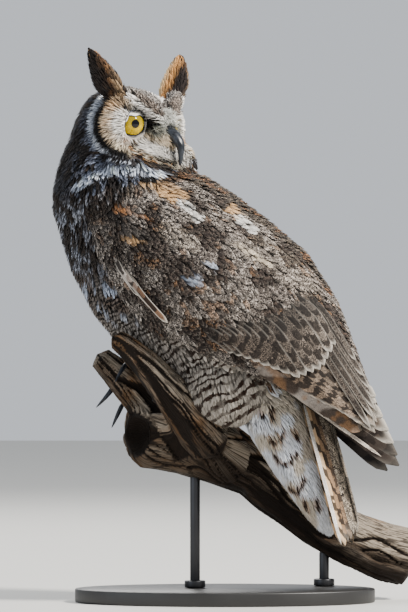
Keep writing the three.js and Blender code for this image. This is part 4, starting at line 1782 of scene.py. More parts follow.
@dataclass
class Coat:
    """The short coat: feathers set by a random but even scatter and walked over the form."""

    form: Form
    markings: Markings
    lie: Lie
    finish: bpy.types.Material
    candidates: int = 600000
    bare_reach: float = 16.2 * MM
    brow_closeness: float = 1.3
    wing_edge: tuple[float, float, float] = (272.0, -0.62, 20.0)
    seed: int = 11
    limit: int = 195000

    def build(self) -> list[bpy.types.Object]:
        """Makes every piece of the short coat.

        Returns:
            The pieces.
        """
        rng = np.random.default_rng(self.seed)
        roots = self._roots(rng)
        dress = self.markings.dress(roots)
        bristle = dress.width < 2.6
        groups = {region: [] for region in Region}
        region_of = self._regions(roots)
        for shape, chosen in ((SHORT, ~bristle), (BRISTLE, bristle)):
            numbers = np.flatnonzero(chosen)
            plumes = self._plumes(roots.pick(numbers), self._some(dress, numbers), shape, rng)
            for region in Region:
                groups[region].append(plumes.pick(region_of[numbers] == region.name))
        pieces = []
        for region, plumes in groups.items():
            pieces += self._pieces(region, [p for p in plumes if len(p)])
        return pieces

    @staticmethod
    def _some(dress: Dress, chosen: Array) -> Dress:
        """The dress of the chosen feathers."""
        return Dress(**{name: value[chosen] for name, value in vars(dress).items()})

    def _roots(self, rng: np.random.Generator) -> Spots:
        """Evenly spread roots, closer together where the feathers are small.

        Args:
            rng: the random source.

        Returns:
            The roots.
        """
        corners = self.form.spots()
        dress = self.markings.dress(corners)
        density = (1 / dress.spacing**2)[self.form.tris].mean(axis=1)
        spots = self.form.scatter(self.candidates, density, rng)
        spots = spots.pick(self._feathered(spots))
        gap = self.markings.dress(spots).spacing * MM
        tree = KDTree(len(spots))
        places = spots.points.tolist()
        for i, place in enumerate(places):
            tree.insert(place, i)
        tree.balance()
        free = np.ones(len(spots), bool)
        kept = []
        for i, place in enumerate(places):
            if free[i]:
                kept.append(i)
                for _, j, _ in tree.find_range(place, gap[i]):
                    free[j] = False
        log.info("coat: %d roots from %d candidates", len(kept), len(spots))
        return spots.pick(np.array(kept))

    def _feathered(self, s: Spots) -> Array:
        """Where feathers may stand: off the eyes, and off the wing's edge that flight feathers cover.

        Args:
            s: the spots.

        Returns:
            Whether a feather may stand there.
        """
        x, z = s.seen.T
        edge = self.wing_edge[0] + self.wing_edge[1] * x
        ok = ~(s.of(Part.WING) & (x > self.wing_edge[2]) & (z < edge))
        for hand in HANDS.values():
            away = s.points - STANCE.eye_place(hand)
            away[:, 2] *= np.where(away[:, 2] > 0, self.brow_closeness, 1.0)
            ok &= np.linalg.norm(away, axis=1) > self.bare_reach
        return ok

    def _regions(self, s: Spots) -> Array:
        """The region of each root.

        Args:
            s: the roots.

        Returns:
            The names of their regions.
        """
        out = np.full(len(s), Region.BREAST.name, dtype=object)
        trunk, head, wing = s.of(Part.TRUNK), s.of(Part.HEAD), s.of(Part.WING)
        near = s.body[:, 1] < 0
        inside = {
            Region.BELLY: trunk & (s.seen[:, 1] < 330),
            Region.BACK: trunk & (s.body_normal[:, 0] * 0.7 + s.body_normal[:, 2] > 0.25),
            Region.NECK: s.of(Part.NECK),
            Region.WING_LEFT: wing & near,
            Region.WING_RIGHT: wing & ~near,
            Region.VENT: s.of(Part.VENT),
            Region.LEGS: s.of(Part.LEG) | s.of(Part.THIGH),
            Region.CROWN: head | s.of(Part.TUFT),
            Region.FACE: head & (s.front > 0) & (s.head[:, 0] > 8),
        }
        for region, chosen in inside.items():
            out[chosen] = region.name
        return out

    def _plumes(self, s: Spots, d: Dress, shape: VaneShape, rng: np.random.Generator) -> Plumes:
        """Walks each feather from its root over the form and spreads its vane.

        Args:
            s: the roots.
            d: what each feather looks like.
            shape: the vanes' outline.
            rng: the random source.

        Returns:
            The vanes.
        """
        count = len(s)
        length = d.length * MM * rng.uniform(0.82, 1.15, count)
        width = d.width * MM * rng.uniform(0.85, 1.15, count)
        way = self._strayed(self.lie.flow(s), s.normals, rng.normal(0, 1, count) * d.wild)
        spine, up, ways = [s.points], [s.normals], [way]
        marks = np.array(shape.along)
        for step in np.diff(marks):
            ahead = spine[-1] + way * (length * step)[:, None]
            place, normal, _ = self.form.nearest(ahead)
            way = flat_on(way, normal)
            spine.append(place)
            up.append(normal)
            ways.append(way)
        shown = self._shown(d, spine, marks)
        spine, up, ways = (np.stack(steps, axis=1) for steps in (spine, up, ways))
        depth = COAT_DEPTH[s.parts - 1]
        rise = -(depth + 0.6 * MM)[:, None] * (1 - marks**0.75) + (d.lift * MM)[:, None] * marks**1.5
        rise = rise + rng.normal(0, 0.25 * MM, count)[:, None] * marks
        spine = spine + up * rise[..., None]
        profile = blend(np.array(shape.blunt), np.array(shape.sharp), d.point)
        widths = width[:, None] * profile
        rings = spread(spine, up, ways, widths, 3, (width * shape.thickness, width * shape.camber))
        tone = with_alpha(self._varied(shown.tone, rng), shown.order)
        mark = with_alpha(shown.mark, shown.strength)
        grain = np.stack([shown.bars / 10, shown.speckle, shown.edge, rng.random(count)], axis=1)
        home = self.form.unwrap_at(s.points, s.faces)
        return Plumes(rings, marks, np.linspace(0, 1, 3), tone, mark, grain, home)

    def _shown(self, d: Dress, spine: list[Array], marks: Array) -> Dress:
        """The markings where each feather shows, which is near its tip where they stand close.

        Args:
            d: the looks at the roots.
            spine: the places of each ring.
            marks: where the rings lie, 0 to 1.

        Returns:
            The looks to use.
        """
        path = np.stack(spine, axis=1)
        shown = 1 - 0.5 * np.clip(1.3 * d.spacing / d.length, 0.1, 0.6)
        spot = np.interp(shown, marks, np.arange(len(marks)))
        before = np.minimum(spot.astype(int), len(marks) - 2)
        rows = np.arange(len(path))
        places = blend(path[rows, before], path[rows, before + 1], spot - before)
        places, normals, faces = self.form.nearest(places)
        parts = self.form.parts[self.form.tris[faces, 0]]
        return self.markings.dress(Spots(places, normals, parts))

    @staticmethod
    def _strayed(way: Array, normals: Array, angle: Array) -> Array:
        """Directions turned about their normals."""
        return way * np.cos(angle)[:, None] + np.cross(normals, way) * np.sin(angle)[:, None]

    @staticmethod
    def _varied(tone: Array, rng: np.random.Generator) -> Array:
        """Colours a little lighter or darker, feather by feather."""
        return np.clip(tone * rng.lognormal(0, 0.16, len(tone))[:, None], 0, 1)

    def _pieces(self, region: Region, plumes: list[Plumes]) -> list[bpy.types.Object]:
        """One object for a region, or several where it has too many triangles.

        Args:
            region: the region.
            plumes: its vanes.

        Returns:
            The objects.
        """
        word, slot = region.value
        shares = max(1, math.ceil(sum(p.triangle_count for p in plumes) / self.limit))
        pieces = []
        for share in range(shares):
            some = [p.pick(np.arange(len(p)) % shares == share) for p in plumes]
            pieces.append(hand_in(vane_mesh(f"coat_{word}_{share + 1}", some, self.finish)))
        return pieces


@dataclass
class Skin:
    """The one skin under the coat, with the coat's colours."""

    form: Form
    markings: Markings

    def build(self) -> bpy.types.Object:
        """Unwraps the form, colours it and draws it in by the coat's depth.

        Returns:
            The skin.
        """
        item = self.form.item
        mesh = item.data
        with editing(item):
            bpy.ops.uv.smart_project(angle_limit=math.radians(66), island_margin=0.001)
        mesh.uv_layers.active.name = "OFBake"
        self.form.uv = rows_of(mesh.uv_layers.active.data, "uv", 2).astype(float)
        dress = self.markings.dress(self.form.spots())
        add_colour(mesh, "tone", with_alpha(dress.tone))
        depth = COAT_DEPTH[self.form.parts - 1]
        for _ in range(3):
            depth = self._evened(depth)
        set_places(mesh, self.form.places - self.form.normals * depth[:, None])
        mesh.materials.clear()
        mesh.materials.append(SkinFinish().build())
        return hand_in(item, flesh_nodes())

    def _evened(self, values: Array) -> Array:
        """A value of the vertices, averaged over each one's triangles.

        Args:
            values: one number for each vertex.

        Returns:
            The averages.
        """
        tris = self.form.tris
        mean = values[tris].mean(axis=1)
        total, count = np.zeros(len(values)), np.zeros(len(values))
        for column in range(3):
            np.add.at(total, tris[:, column], mean)
            np.add.at(count, tris[:, column], 1)
        return total / np.maximum(count, 1)


# ---- long feathers
@dataclass(frozen=True)
class BladeShape:
    """Outline of a long feather: slim at its root, even along its length and round at its tip."""

    rings: int = 15
    columns: int = 5
    round_from: float = 0.84
    root_share: float = 0.35
    thickness: float = 0.035
    camber: float = 0.03

    def along(self) -> Array:
        """Where the rings lie, closer together at the round tip."""
        t = np.linspace(0, 1, self.rings)
        return np.clip(t**0.9 * 0.9 + 0.1 * np.sin(t * math.pi / 2), 0, 1)

    def profile(self) -> Array:
        """Share of the full width at each ring.

        Returns:
            The shares.
        """
        t = self.along()
        body = self.root_share + (1 - self.root_share) * ramp(t, 0, 0.3)
        over = np.clip((t - self.round_from) / (1 - self.round_from), 0, 1)
        return body * np.sqrt(np.maximum(1 - over**2, 0.012))


@dataclass
class Blade:
    """One long feather's spine, size and look."""

    spine: Array
    up: Array
    width: float
    tone: Array
    mark: Array
    bars: float = 5.0
    strength: float = 0.8
    speckle: float = 0.4
    edge: float = 0.3
    start: float = 0.0


def blade_plumes(blades: Sequence[Blade], form: Form, shape: BladeShape) -> Plumes:
    """Long feathers as arrays.

    Args:
        blades: the feathers, whose spines have as many points as the shape has rings.
        form: the bird's form, for their places on the unwrap.
        shape: their outline.

    Returns:
        The vanes.
    """
    spine = np.stack([b.spine for b in blades])
    up = unit(np.stack([b.up for b in blades]))
    way = unit(np.gradient(spine, axis=1))
    up = flat_on(up, way)
    width = np.array([b.width for b in blades]) * MM
    widths = width[:, None] * shape.profile()
    rings = spread(spine, up, way, widths, shape.columns, (width * shape.thickness, width * shape.camber))
    grain = np.array([(b.bars / 10, b.speckle, b.edge, b.start) for b in blades])
    places, _, faces = form.nearest(spine[:, 0])
    marks = with_alpha(np.stack([b.mark for b in blades]), np.array([b.strength for b in blades]))
    tones = np.stack([b.tone for b in blades])
    across = np.linspace(0, 1, shape.columns)
    return Plumes(rings, shape.along(), across, tones, marks, grain, form.unwrap_at(places, faces))


@dataclass
class LongFeathers:
    """What the tail and the wings share: the form, the finish and how a piece is made of blades."""

    form: Form
    finish: bpy.types.Material

    def finished(self, name: str, blades: Sequence[Blade], nodes: Sequence[str] = ()) -> bpy.types.Object:
        """One piece of several feathers.

        Args:
            name: the piece's name.
            blades: its feathers.
            nodes: the nodes that it stands for.

        Returns:
            The piece.
        """
        plumes = blade_plumes(blades, self.form, BladeShape())
        return hand_in(vane_mesh(name, [plumes], self.finish), nodes)


@dataclass
class Tail(LongFeathers):
    """Twelve tail feathers folded into a roof, white at the outside and grey in the middle."""

    feathers: int = 6
    length: float = 165.0
    root_width: float = 32.0
    tip_width: float = 37.0
    blade_width: float = 19.0
    origin: tuple[float, float, float] = (90, -0.8, 232)
    down: tuple[float, float, float] = (0.277, 0, -0.961)
    aside: tuple[float, float, float] = (-11, -35, -20)
    seed: int = 31

    def build(self) -> bpy.types.Object:
        """Both slopes of the roof as one piece.

        Returns:
            The piece.
        """
        rng = np.random.default_rng(self.seed)
        blades = [self._blade(side, i, rng) for side in (-1, 1) for i in range(self.feathers)]
        blades += [self._outer_web(side) for side in (-1, 1)]
        return self.finished("tail_vanes", blades, ["tail_feathers"])

    def _laid(self, side: int, t: Array, reach: float, aside: Array, rise: Array) -> tuple[Array, Array]:
        """Points of one slope of the roof, and its normal there, in the shared frame.

        Args:
            side: -1 for the left slope and 1 for the right.
            t: 0 at the root to 1 at the tip.
            reach: the feather's length.
            aside: how far out from the ridge.
            rise: how far above the slope.

        Returns:
            The points and the normals.
        """
        u = unit(np.array(self.down))
        w = unit(np.array(self.aside))
        top = -np.cross(u, w)
        local = np.array(self.origin) + u * (t * reach)[:, None] + w * aside[:, None] + top * rise[:, None]
        return STANCE.laid(local, top, side > 0)

    def _outer_web(self, side: int) -> Blade:
        """The narrow white outer web of the outermost feather.

        Args:
            side: the slope.

        Returns:
            The feather.
        """
        t = BladeShape().along()
        aside = self.root_width + (self.tip_width - self.root_width) * t + 1.5
        spine, up = self._laid(side, t, self.length - 6.0, aside, np.full(len(t), 1.8))
        white, mark = tint(238, 234, 228), tint(90, 66, 50)
        return Blade(spine, up, 6.0, white, mark, bars=6.0, strength=0.25, edge=0.0)

    def _blade(self, side: int, i: int, rng: np.random.Generator) -> Blade:
        """One tail feather; i counts outwards from the middle.

        Args:
            side: the slope.
            i: its number.
            rng: the random source.

        Returns:
            The feather.
        """
        t = BladeShape().along()
        step = self.tip_width / self.feathers
        start = self.root_width / self.feathers * i + 1.0
        end = step * (i + 0.5)
        reach = self.length - (2.0 if i == self.feathers - 1 else 0.0) + rng.uniform(-1.5, 1.0)
        layer = (self.feathers - 1 - i) * 0.55 - 1.6
        rise = layer + np.sin(t * math.pi) * 1.5
        spine, up = self._laid(side, t, reach, start + (end - start) * t, rise)
        width = self.blade_width - (3.5 if i == self.feathers - 1 else 0.0)
        share = i / (self.feathers - 1)
        tone = blend(tint(186, 174, 158), tint(150, 122, 94), ramp(share, 0.2, 0.45))
        tone = blend(tone, tint(224, 196, 160), ramp(share, 0.55, 0.85))
        strength = 0.5 + 0.42 * ramp(share, 0.2, 0.5)
        speckle = 1.0 - 0.8 * ramp(share, 0.2, 0.7)
        mark = tint(34, 25, 20)
        look = dict(bars=6.0, strength=strength, speckle=speckle, edge=0.2, start=0.17 * i)
        return Blade(spine, up, width, tone, mark, **look)


@dataclass
class Primaries(LongFeathers):
    """The long outer flight feathers of one closed wing."""

    word: str
    forward: float = 0.0
    drop: float = 0.0
    reach: float = 179.0
    tips: int = 7
    tip_step: float = 7.5
    blade_width: float = 17.0
    seed: int = 41

    def build(self) -> bpy.types.Object:
        """The wing's stack of feathers as one piece.

        Returns:
            The piece.
        """
        rng = np.random.default_rng(self.seed)
        blades = [self._blade(k, rng) for k in range(self.tips)]
        blades.append(self._leading_edge())
        return self.finished(f"primaries_{self.word}", blades, [f"wing_{self.word}_primaries"])

    def _laid(self, u: Array, w: Array, rise: Array) -> tuple[Array, Array]:
        """Points of the wing's plane, and its normal there, in the shared frame.

        Args:
            u: how far along the wing.
            w: how far up it.
            rise: how far off it.

        Returns:
            The points and the normals.
        """
        origin = np.array([37 - self.forward, -50, 240 - self.drop / 2])
        eu = unit(np.array([141, 34, -103 - self.drop]))
        ew = unit(np.array([0.5, 0.2, 0.84]))
        normal = unit(np.cross(eu, ew))
        local = origin + eu * u[:, None] + ew * w[:, None] + normal * rise[:, None]
        return STANCE.laid(local, normal, self.word == "right")

    def _blade(self, k: int, rng: np.random.Generator) -> Blade:
        """One feather; k counts upwards from the leading edge.

        Args:
            k: its number.
            rng: the random source.

        Returns:
            The feather.
        """
        t = BladeShape().along()
        reach = self.reach - 7 * min(k, 5) ** 1.25 - (4 if k > 5 else 0)
        end = self.tip_step * min(k, 5) + 2.5 + (5 if k > 5 else 0)
        start = 6 + 2.6 * k
        w = start + (end - start) * t + np.sin(t * math.pi) * 1.2
        spine, up = self._laid(t * reach, w, np.full(len(t), k * 0.62 - 2.0))
        # painted shade: the far wing's feathers are painted in dark plain colours without pale edges, as
        # they lie in shadow
        dark = self.word == "right"
        brown = blend(tint(62, 53, 47), tint(98, 86, 76), ramp(k, 1, 3))
        tone = (tint(46, 40, 38) if dark else brown) * rng.uniform(0.9, 1.1)
        mark = tint(20, 18, 20) if dark else tint(34, 26, 22)
        pale_edge = 0.12 if dark or k < 2 else 0.8
        look = dict(bars=7.5, strength=0.95, speckle=0.35, edge=pale_edge, start=0.13 * k)
        return Blade(spine, up, self.blade_width, tone, mark, **look)

    def _leading_edge(self) -> Blade:
        """The pale outer web of the first feather.

        Returns:
            The feather.
        """
        t = BladeShape().along()
        spine, up = self._laid(t * (self.reach - 22) + 2, np.full(len(t), -0.5), np.full(len(t), 0.8))
        # the far wing's pale leading edge is painted dark as well: painted shade
        tone = tint(60, 52, 48) if self.word == "right" else tint(226, 216, 204)
        return Blade(spine, up, 3.4, tone, tint(60, 44, 36), bars=7.0, strength=0.5, edge=0.0)


@dataclass(frozen=True)
class Row:
    """A row of feathers laid on the wing's side, between two lines of the side view.

    roots and tips are lines in millimetres, along and up; the feathers run from one to the other.
    rise is how far they stand off the form at the root and at the tip, and more for each next one.
    """

    name: str
    count: int
    roots: tuple[tuple[float, float], ...]
    tips: tuple[tuple[float, float], ...]
    width: float
    rise: tuple[float, float, float]
    tone: tuple[Array, ...]
    bars: float = 5.0
    strength: float = 0.8
    speckle: float = 0.6
    edge: float = 0.5
    bow: float = 4.0


def point_on(path: Sequence[Sequence[float]], share: float) -> Array:
    """The point at a share of a bent line's corners, or the colour between several."""
    spots = np.linspace(0, 1, len(path))
    return np.array([np.interp(share, spots, column) for column in np.array(path, float).T])


@dataclass
class WingRows(LongFeathers):
    """Secondaries, tertials, greater coverts and the alula of one closed wing."""

    word: str
    seed: int = 53
    far_inset: float = 14.0
    rows: tuple[Row, ...] = (
        Row(
            "secondaries", 17,
            ((10, 262), (36, 272), (60, 288), (76, 300)),
            ((96, 204), (118, 192), (134, 180), (146, 170), (147, 182), (143, 198), (134, 214), (121, 232)),
            11.5, (-1.5, 1.0, 0.32), (tint(140, 121, 104), tint(152, 137, 122), tint(168, 156, 142)),
            bars=8.5, strength=0.92, speckle=0.7, edge=0.4,
        ),
        Row(
            "greater_coverts", 15,
            ((-22, 274), (6, 282), (44, 292), (68, 310)),
            ((10, 252), (38, 240), (72, 226), (94, 234), (104, 256)),
            11.5, (-1.0, 3.6, 0.24), (tint(110, 97, 86), tint(138, 128, 118)),
            bars=3.6, strength=0.86, speckle=0.95, edge=0.62, bow=2.0,
        ),
        Row(
            "tertials", 7,
            ((62, 306), (72, 312), (82, 312)),
            ((140, 176), (145, 186), (144, 200), (136, 216), (124, 240)),
            7.5, (-0.5, 5.6, 0.35), (tint(106, 97, 88), tint(118, 109, 100)),
            bars=1.6, strength=0.6, speckle=1.0, edge=0.6, bow=-1.0,
        ),
        Row(
            "alula", 4,
            ((-112, 350), (-106, 340), (-100, 334)),
            ((-84, 306), (-62, 286), (-56, 280)),
            6.0, (-1.0, 1.2, 0.6), (tint(196, 186, 178), tint(150, 118, 94)),
            bars=1.6, strength=0.9, speckle=0.25, edge=1.0, bow=-2.0,
        ),
    )

    def build(self) -> bpy.types.Object:
        """The wing's rows as one piece.

        Returns:
            The piece.
        """
        rng = np.random.default_rng(self.seed)
        blades = [self._blade(row, i, rng) for row in self.rows for i in range(row.count)]
        return self.finished(f"wing_rows_{self.word}", blades)

    def _blade(self, row: Row, i: int, rng: np.random.Generator) -> Blade:
        """One feather of a row, dropped onto the form.

        Args:
            row: the row.
            i: its number in the row.
            rng: the random source.

        Returns:
            The feather.
        """
        share = i / (row.count - 1)
        root, tone = point_on(row.roots, share), point_on(row.tone, share)
        t = BladeShape().along()
        run = point_on(row.tips, share) - root
        square = np.array([-run[1], run[0]]) / np.linalg.norm(run)
        flat = root + run * t[:, None] + square * (np.sin(t * math.pi) * row.bow)[:, None]
        if self.word == "right":
            flat[:, 0] -= self.far_inset * ramp(flat[:, 0], 20, 110)
        places, up, met = self.form.on_side(HANDS[self.word], flat)
        self._bridge(places, up, met, flat)
        low, high, step = row.rise
        rise = low + (high - low) * ramp(t, 0, 0.45) + step * i * ramp(t, 0.05, 0.5)
        spine = places + up * (rise * MM)[:, None]
        width = row.width * rng.uniform(0.94, 1.06)
        tone = tone * rng.uniform(0.8, 1.15)
        start = i / 6 + rng.uniform(0.0, 0.04)
        look = (row.bars, row.strength, row.speckle, row.edge, start)
        return Blade(spine, up, width, tone, tint(30, 23, 19), *look)

    @staticmethod
    def _bridge(places: Array, up: Array, met: Array, flat: Array) -> None:
        """Carries a feather straight on where it leaves the form.

        Args:
            places: the spine, which it changes.
            up: the normals, which it changes.
            met: where the form was met.
            flat: the spine in the side view.
        """
        for i in range(2, len(places)):
            before = places[i - 1] - places[i - 2]
            step = np.linalg.norm(flat[i] - flat[i - 1]) * MM
            jump = np.linalg.norm(places[i] - places[i - 1])
            if not met[i] or jump > 1.8 * step + 0.4 * MM:
                places[i] = places[i - 1] + unit(before) * step
                up[i] = up[i - 1]
        for _ in range(2):
            places[1:-1] = (places[:-2] + places[1:-1] * 2 + places[2:]) / 4
            up[1:-1] = unit(up[:-2] + up[1:-1] * 2 + up[2:])


# ---- head's hard parts
@dataclass
class Eye:
    """Eyeball with its clear bulge, and the lids round it."""

    word: str
    radius: float = 14.5 * MM
    bulge: float = 1.3 * MM
    bulge_angle: float = math.radians(54)
    gaze: tuple[float, float, float] = (0.872, 0.478, -0.103)
    opening: tuple[float, ...] = (15.4, 10.6, 6.9, 9.8, 13.2, 12.8, 11.8, 14.0)
    lid_reach: float = 19.0

    def __post_init__(self) -> None:
        """Works out where the eye is and where it looks."""
        self.hand = HANDS[self.word]
        self.centre = STANCE.eye_place(self.hand)
        axis = np.array([self.gaze[0], self.hand * self.gaze[1], self.gaze[2]])
        self.axis = STANCE.turn(unit(axis), STANCE.head_turn)
        self.inner = -self.hand * unit(np.cross([0.0, 0.0, 1.0], self.axis))
        self.top = unit(np.cross(self.axis, self.inner)) * -self.hand

    def build(self) -> None:
        """The eyeball and its lids."""
        self._ball()
        self._lids()

    def _ball(self) -> None:
        """A fine ball whose front is pushed out into the clear bulge."""
        sizes = dict(segments=56, ring_count=36, radius=self.radius, location=self.centre)
        ball = primitive(f"eyeball_{self.word}", bpy.ops.mesh.primitive_uv_sphere_add, **sizes)
        bpy.ops.object.shade_smooth()
        places = vertex_places(ball.data)
        away = places - self.centre
        angle = np.arccos(np.clip(unit(away) @ self.axis, -1, 1))
        grow = self.bulge * ramp(angle, self.bulge_angle, self.bulge_angle * 0.25)
        set_places(ball.data, places + unit(away) * grow[:, None])
        finish = EyeFinish(f"iris_{self.word}", tuple(self.centre), tuple(self.axis))
        ball.data.materials.append(finish.build())
        hand_in(ball, [f"eye_{self.word}"])

    def _reach(self, angle: Array) -> Array:
        """Half size of the opening in each direction, in metres.

        Args:
            angle: in radians, from the inner corner.

        Returns:
            The sizes.
        """
        spots = np.linspace(0, 2 * math.pi, len(self.opening) + 1)
        values = np.array([*self.opening, self.opening[0]])
        turn = angle % (2 * math.pi)
        k = np.clip(np.searchsorted(spots, turn, side="right") - 1, 0, len(self.opening) - 1)
        share = (turn - spots[k]) / (spots[1] - spots[0])
        share = share * share * (3 - 2 * share)
        return (values[k] + (values[k + 1] - values[k]) * share) * MM

    def _lids(self) -> None:
        """A rolled rim round the opening that runs back under the feathers."""
        count = 64
        angle = np.arange(count) / count * 2 * math.pi
        reach = self._reach(angle)
        steps = ((-0.6, 0.1), (-0.1, 0.9), (0.5, 1.3), (1.1, 1.5), (0.25, 1.5), (0.6, 0.6), (1.0, -2.5))
        rings, tones = [], []
        pale = ramp(np.cos(angle), 0.95, 0.5)
        for k, (out, lift) in enumerate(steps):
            size = reach + (out * MM if k < 4 else out * (self.lid_reach * MM - reach))
            ball = np.sqrt(np.maximum(self.radius**2 - size**2, (3.0 * MM) ** 2))
            depth = ball + (lift + self.bulge / MM * 0.55) * MM
            flat = np.cos(angle)[:, None] * self.inner + np.sin(angle)[:, None] * self.top
            rings.append(self.centre + flat * size[:, None] + self.axis * depth[:, None])
            white = tint(222, 220, 216) if k > 2 else (tint(46, 40, 38) if k == 2 else BLACK)
            tones.append(blend(BLACK, np.tile(white, (count, 1)), pale * (k > 1)))
        mesh = bpy.data.meshes.new(f"eyelids_{self.word}")
        faces = []
        for k in range(len(steps) - 1):
            for j in range(count):
                n = (j + 1) % count
                faces.append((k * count + j, (k + 1) * count + j, (k + 1) * count + n, k * count + n))
        mesh.from_pydata(np.concatenate(rings).tolist(), [], faces)
        add_colour(mesh, "tone", with_alpha(np.concatenate(tones)))
        mesh.materials.append(LidFinish().build())
        item = placed(mesh.name, mesh)
        with editing(item):
            bpy.ops.mesh.normals_make_consistent(inside=False)
        middle = mesh.polygons[count * 2]
        if Vector(self.axis).dot(middle.normal) < 0:
            mesh.flip_normals()
        bpy.ops.object.shade_smooth()
        apply_modifier(item, "SOLIDIFY", thickness=0.5 * MM, offset=-1.0)
        apply_modifier(item, "SUBSURF", levels=1, render_levels=1)
        hand_in(item)


@dataclass
class Horn:
    """Bill and claws: the frame's own facets, rounded off."""

    finish: bpy.types.Material
    levels: int = 3
    hook_top: float = 452.0 * MM
    hook_depth: float = 10.0 * MM
    hook_drop: float = 5.0 * MM

    def build(self) -> None:
        """Both halves of the bill, and eight claws."""
        for node in sorted(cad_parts):
            if node.startswith(("bill", "talon")):
                self._rounded(node)

    def _rounded(self, node: str) -> None:
        """One horn piece with its facets smoothed into a curve.

        Args:
            node: the node's name.
        """
        item = node_copy(node.replace("talon", "claw") + "_horn", node, 0.0002)
        apply_modifier(item, "SUBSURF", levels=self.levels, render_levels=self.levels)
        if node == "bill_upper":
            places = vertex_places(item.data)
            share = ramp(places[:, 2], self.hook_top, self.hook_top - self.hook_depth)
            places[:, 2] -= self.hook_drop * share**1.5
            set_places(item.data, places)
        bpy.ops.object.shade_smooth()
        item.data.materials.append(self.finish)
        hand_in(item, [node])


# ---- perch and stand
@dataclass
class Perch:
    """A cut, weathered limb with deep grooves along its grain and a rotted knot."""

    finish: bpy.types.Material
    voxel: float = 2.0 * MM
    groove: float = 5.0 * MM
    lines: tuple = (
        ((196, 50, 40), (155, 44, 50), (105, 38, 72), (65, 30, 99),
         (27, 20, 130), (-13, 10, 153), (-50, 4, 166), (-101, -6, 168)),
        ((-4, -14, 146), (-38, -42, 188), (-70, -54, 228), (-97, -56, 255), (-113, -56, 267)),
        ((-14, 0, 158), (-44, -14, 200), (-62, -28, 228), (-76, -34, 250)),
        ((-62, 4, 180), (-92, 4, 212), (-116, 0, 236), (-128, -2, 248)),
    )
    branch_gap: float = 60.0  # keeps the grain of one branch apart from the next one's
    hollow: tuple = ((-122, -46, 166), (-74, -2, 168))
    hollow_radius: float = 21.0

    def build(self) -> bpy.types.Object:
        """Remeshes, carves and dresses the limb.

        Returns:
            The limb.
        """
        item = node_copy("limb", "perch")
        apply_modifier(item, "REMESH", mode="VOXEL", voxel_size=self.voxel)
        apply_modifier(item, "SMOOTH", factor=0.5, iterations=3)
        mesh = item.data
        places = vertex_places(mesh)
        normals = vertex_normals(mesh)
        grain, radius = self._grain(places / MM)
        inside = self._in_hollow(places / MM)
        height = self._carving(places, grain) * (1 - 0.5 * inside)
        # painted shade: faces turned down on the limb's right part are painted dark brown
        painted_underside_shade = ramp(normals[:, 2], 0.1, -0.5) * ramp(places[:, 0] / MM, -60, 0)
        # high on faces turned up and towards the front: partly the limb's own bleaching, partly painted
        # light; where it is low, the limb is painted into shade
        weathering_and_painted_light = ramp(normals[:, 2] - normals[:, 1] * 0.4, -0.2, 0.6)
        depth = (height - 0.75) * self.groove * np.clip(radius / 20, 0.35, 1.0)
        set_places(mesh, places + normals * depth[:, None])
        # the colour's height is pressed lower in the hollow than its shape is: painted shade inside the
        # hollow
        relief = np.stack([np.clip(height * (1 - 0.75 * inside), 0, 1), weathering_and_painted_light, painted_underside_shade], axis=1)
        add_colour(mesh, "relief", with_alpha(relief))
        layer = mesh.uv_layers.new(name="Grain")
        corner = rows_of(mesh.loops, "vertex_index", 1, np.int32).ravel()
        layer.data.foreach_set("uv", (grain[corner] / 100).astype(np.float32).ravel())
        mesh.materials.append(self.finish)
        focus(item)
        bpy.ops.object.shade_smooth()
        return hand_in(item, ["perch"])

    def _grain(self, points: Array) -> tuple[Array, Array]:
        """Distance along the nearest branch and round it, in millimetres, and from its middle.

        Args:
            points: places in millimetres.

        Returns:
            Both distances along and round, and the distance from the middle.
        """
        best = np.full(len(points), np.inf)
        along, turn = np.zeros(len(points)), np.zeros(len(points))
        for number, line in enumerate(self.lines):
            travelled = self.branch_gap * number
            for a, b in zip(line[:-1], line[1:]):
                a, b = np.array(a, float), np.array(b, float)
                edge = b - a
                size = np.linalg.norm(edge)
                t = np.clip((points - a) @ edge / size**2, 0, 1)
                away = points - a - t[:, None] * edge
                gap = np.linalg.norm(away, axis=1)
                closer = gap < best
                side = unit(np.cross(edge, [0.0, 1.0, 0.3]))
                over = unit(np.cross(edge, side))
                spin = np.arctan2(away @ side, away @ over)
                best = np.where(closer, gap, best)
                along = np.where(closer, travelled + t * size, along)
                turn = np.where(closer, spin, turn)
                travelled += size
        round_about = np.abs(turn) * 24
        return np.stack([along, round_about + 100 * (turn < 0)], axis=1), best

    def _carving(self, places: Array, grain: Array) -> Array:
        """Height of the surface from 0 in the grooves to 1 on the ridges.

        Args:
            places: places in metres.
            grain: the distances along and round.

        Returns:
            The heights.
        """
        warp = (hashed(places, 30 * MM, 3) - 0.5) * 16
        bent = np.stack([grain[:, 0], grain[:, 1] + warp], axis=1)
        broad = self._streaks(bent, 13, 70, 5)
        cracks = 1 - np.abs(self._streaks(bent, 8, 130, 6) * 2 - 1)
        fine = self._streaks(bent, 3.6, 34, 7)
        cut = ramp(cracks, 0.8, 0.95)
        return np.clip(0.82 + 0.6 * (broad - 0.5) + 0.5 * (fine - 0.5) - 0.8 * cut, 0, 1)

    @staticmethod
    def _streaks(grain: Array, width: float, length: float, seed: int) -> Array:
        """Noise drawn out along the grain, with cells of this width and length in millimetres."""
        layer = np.full(len(grain), float(seed))
        return hashed(np.stack([grain[:, 0] / length, grain[:, 1] / width, layer], axis=1), 1.0, seed)

    def _in_hollow(self, points: Array) -> Array:
        """1 inside the rotted knot.

        Args:
            points: places in millimetres.

        Returns:
            The shares.
        """
        a, b = (np.array(p, float) for p in self.hollow)
        edge = b - a
        t = np.clip((points - a) @ edge / (edge @ edge), -0.2, 1)
        gap = np.linalg.norm(points - a - t[:, None] * edge, axis=1)
        return ramp(gap, self.hollow_radius + 3, self.hollow_radius - 2)


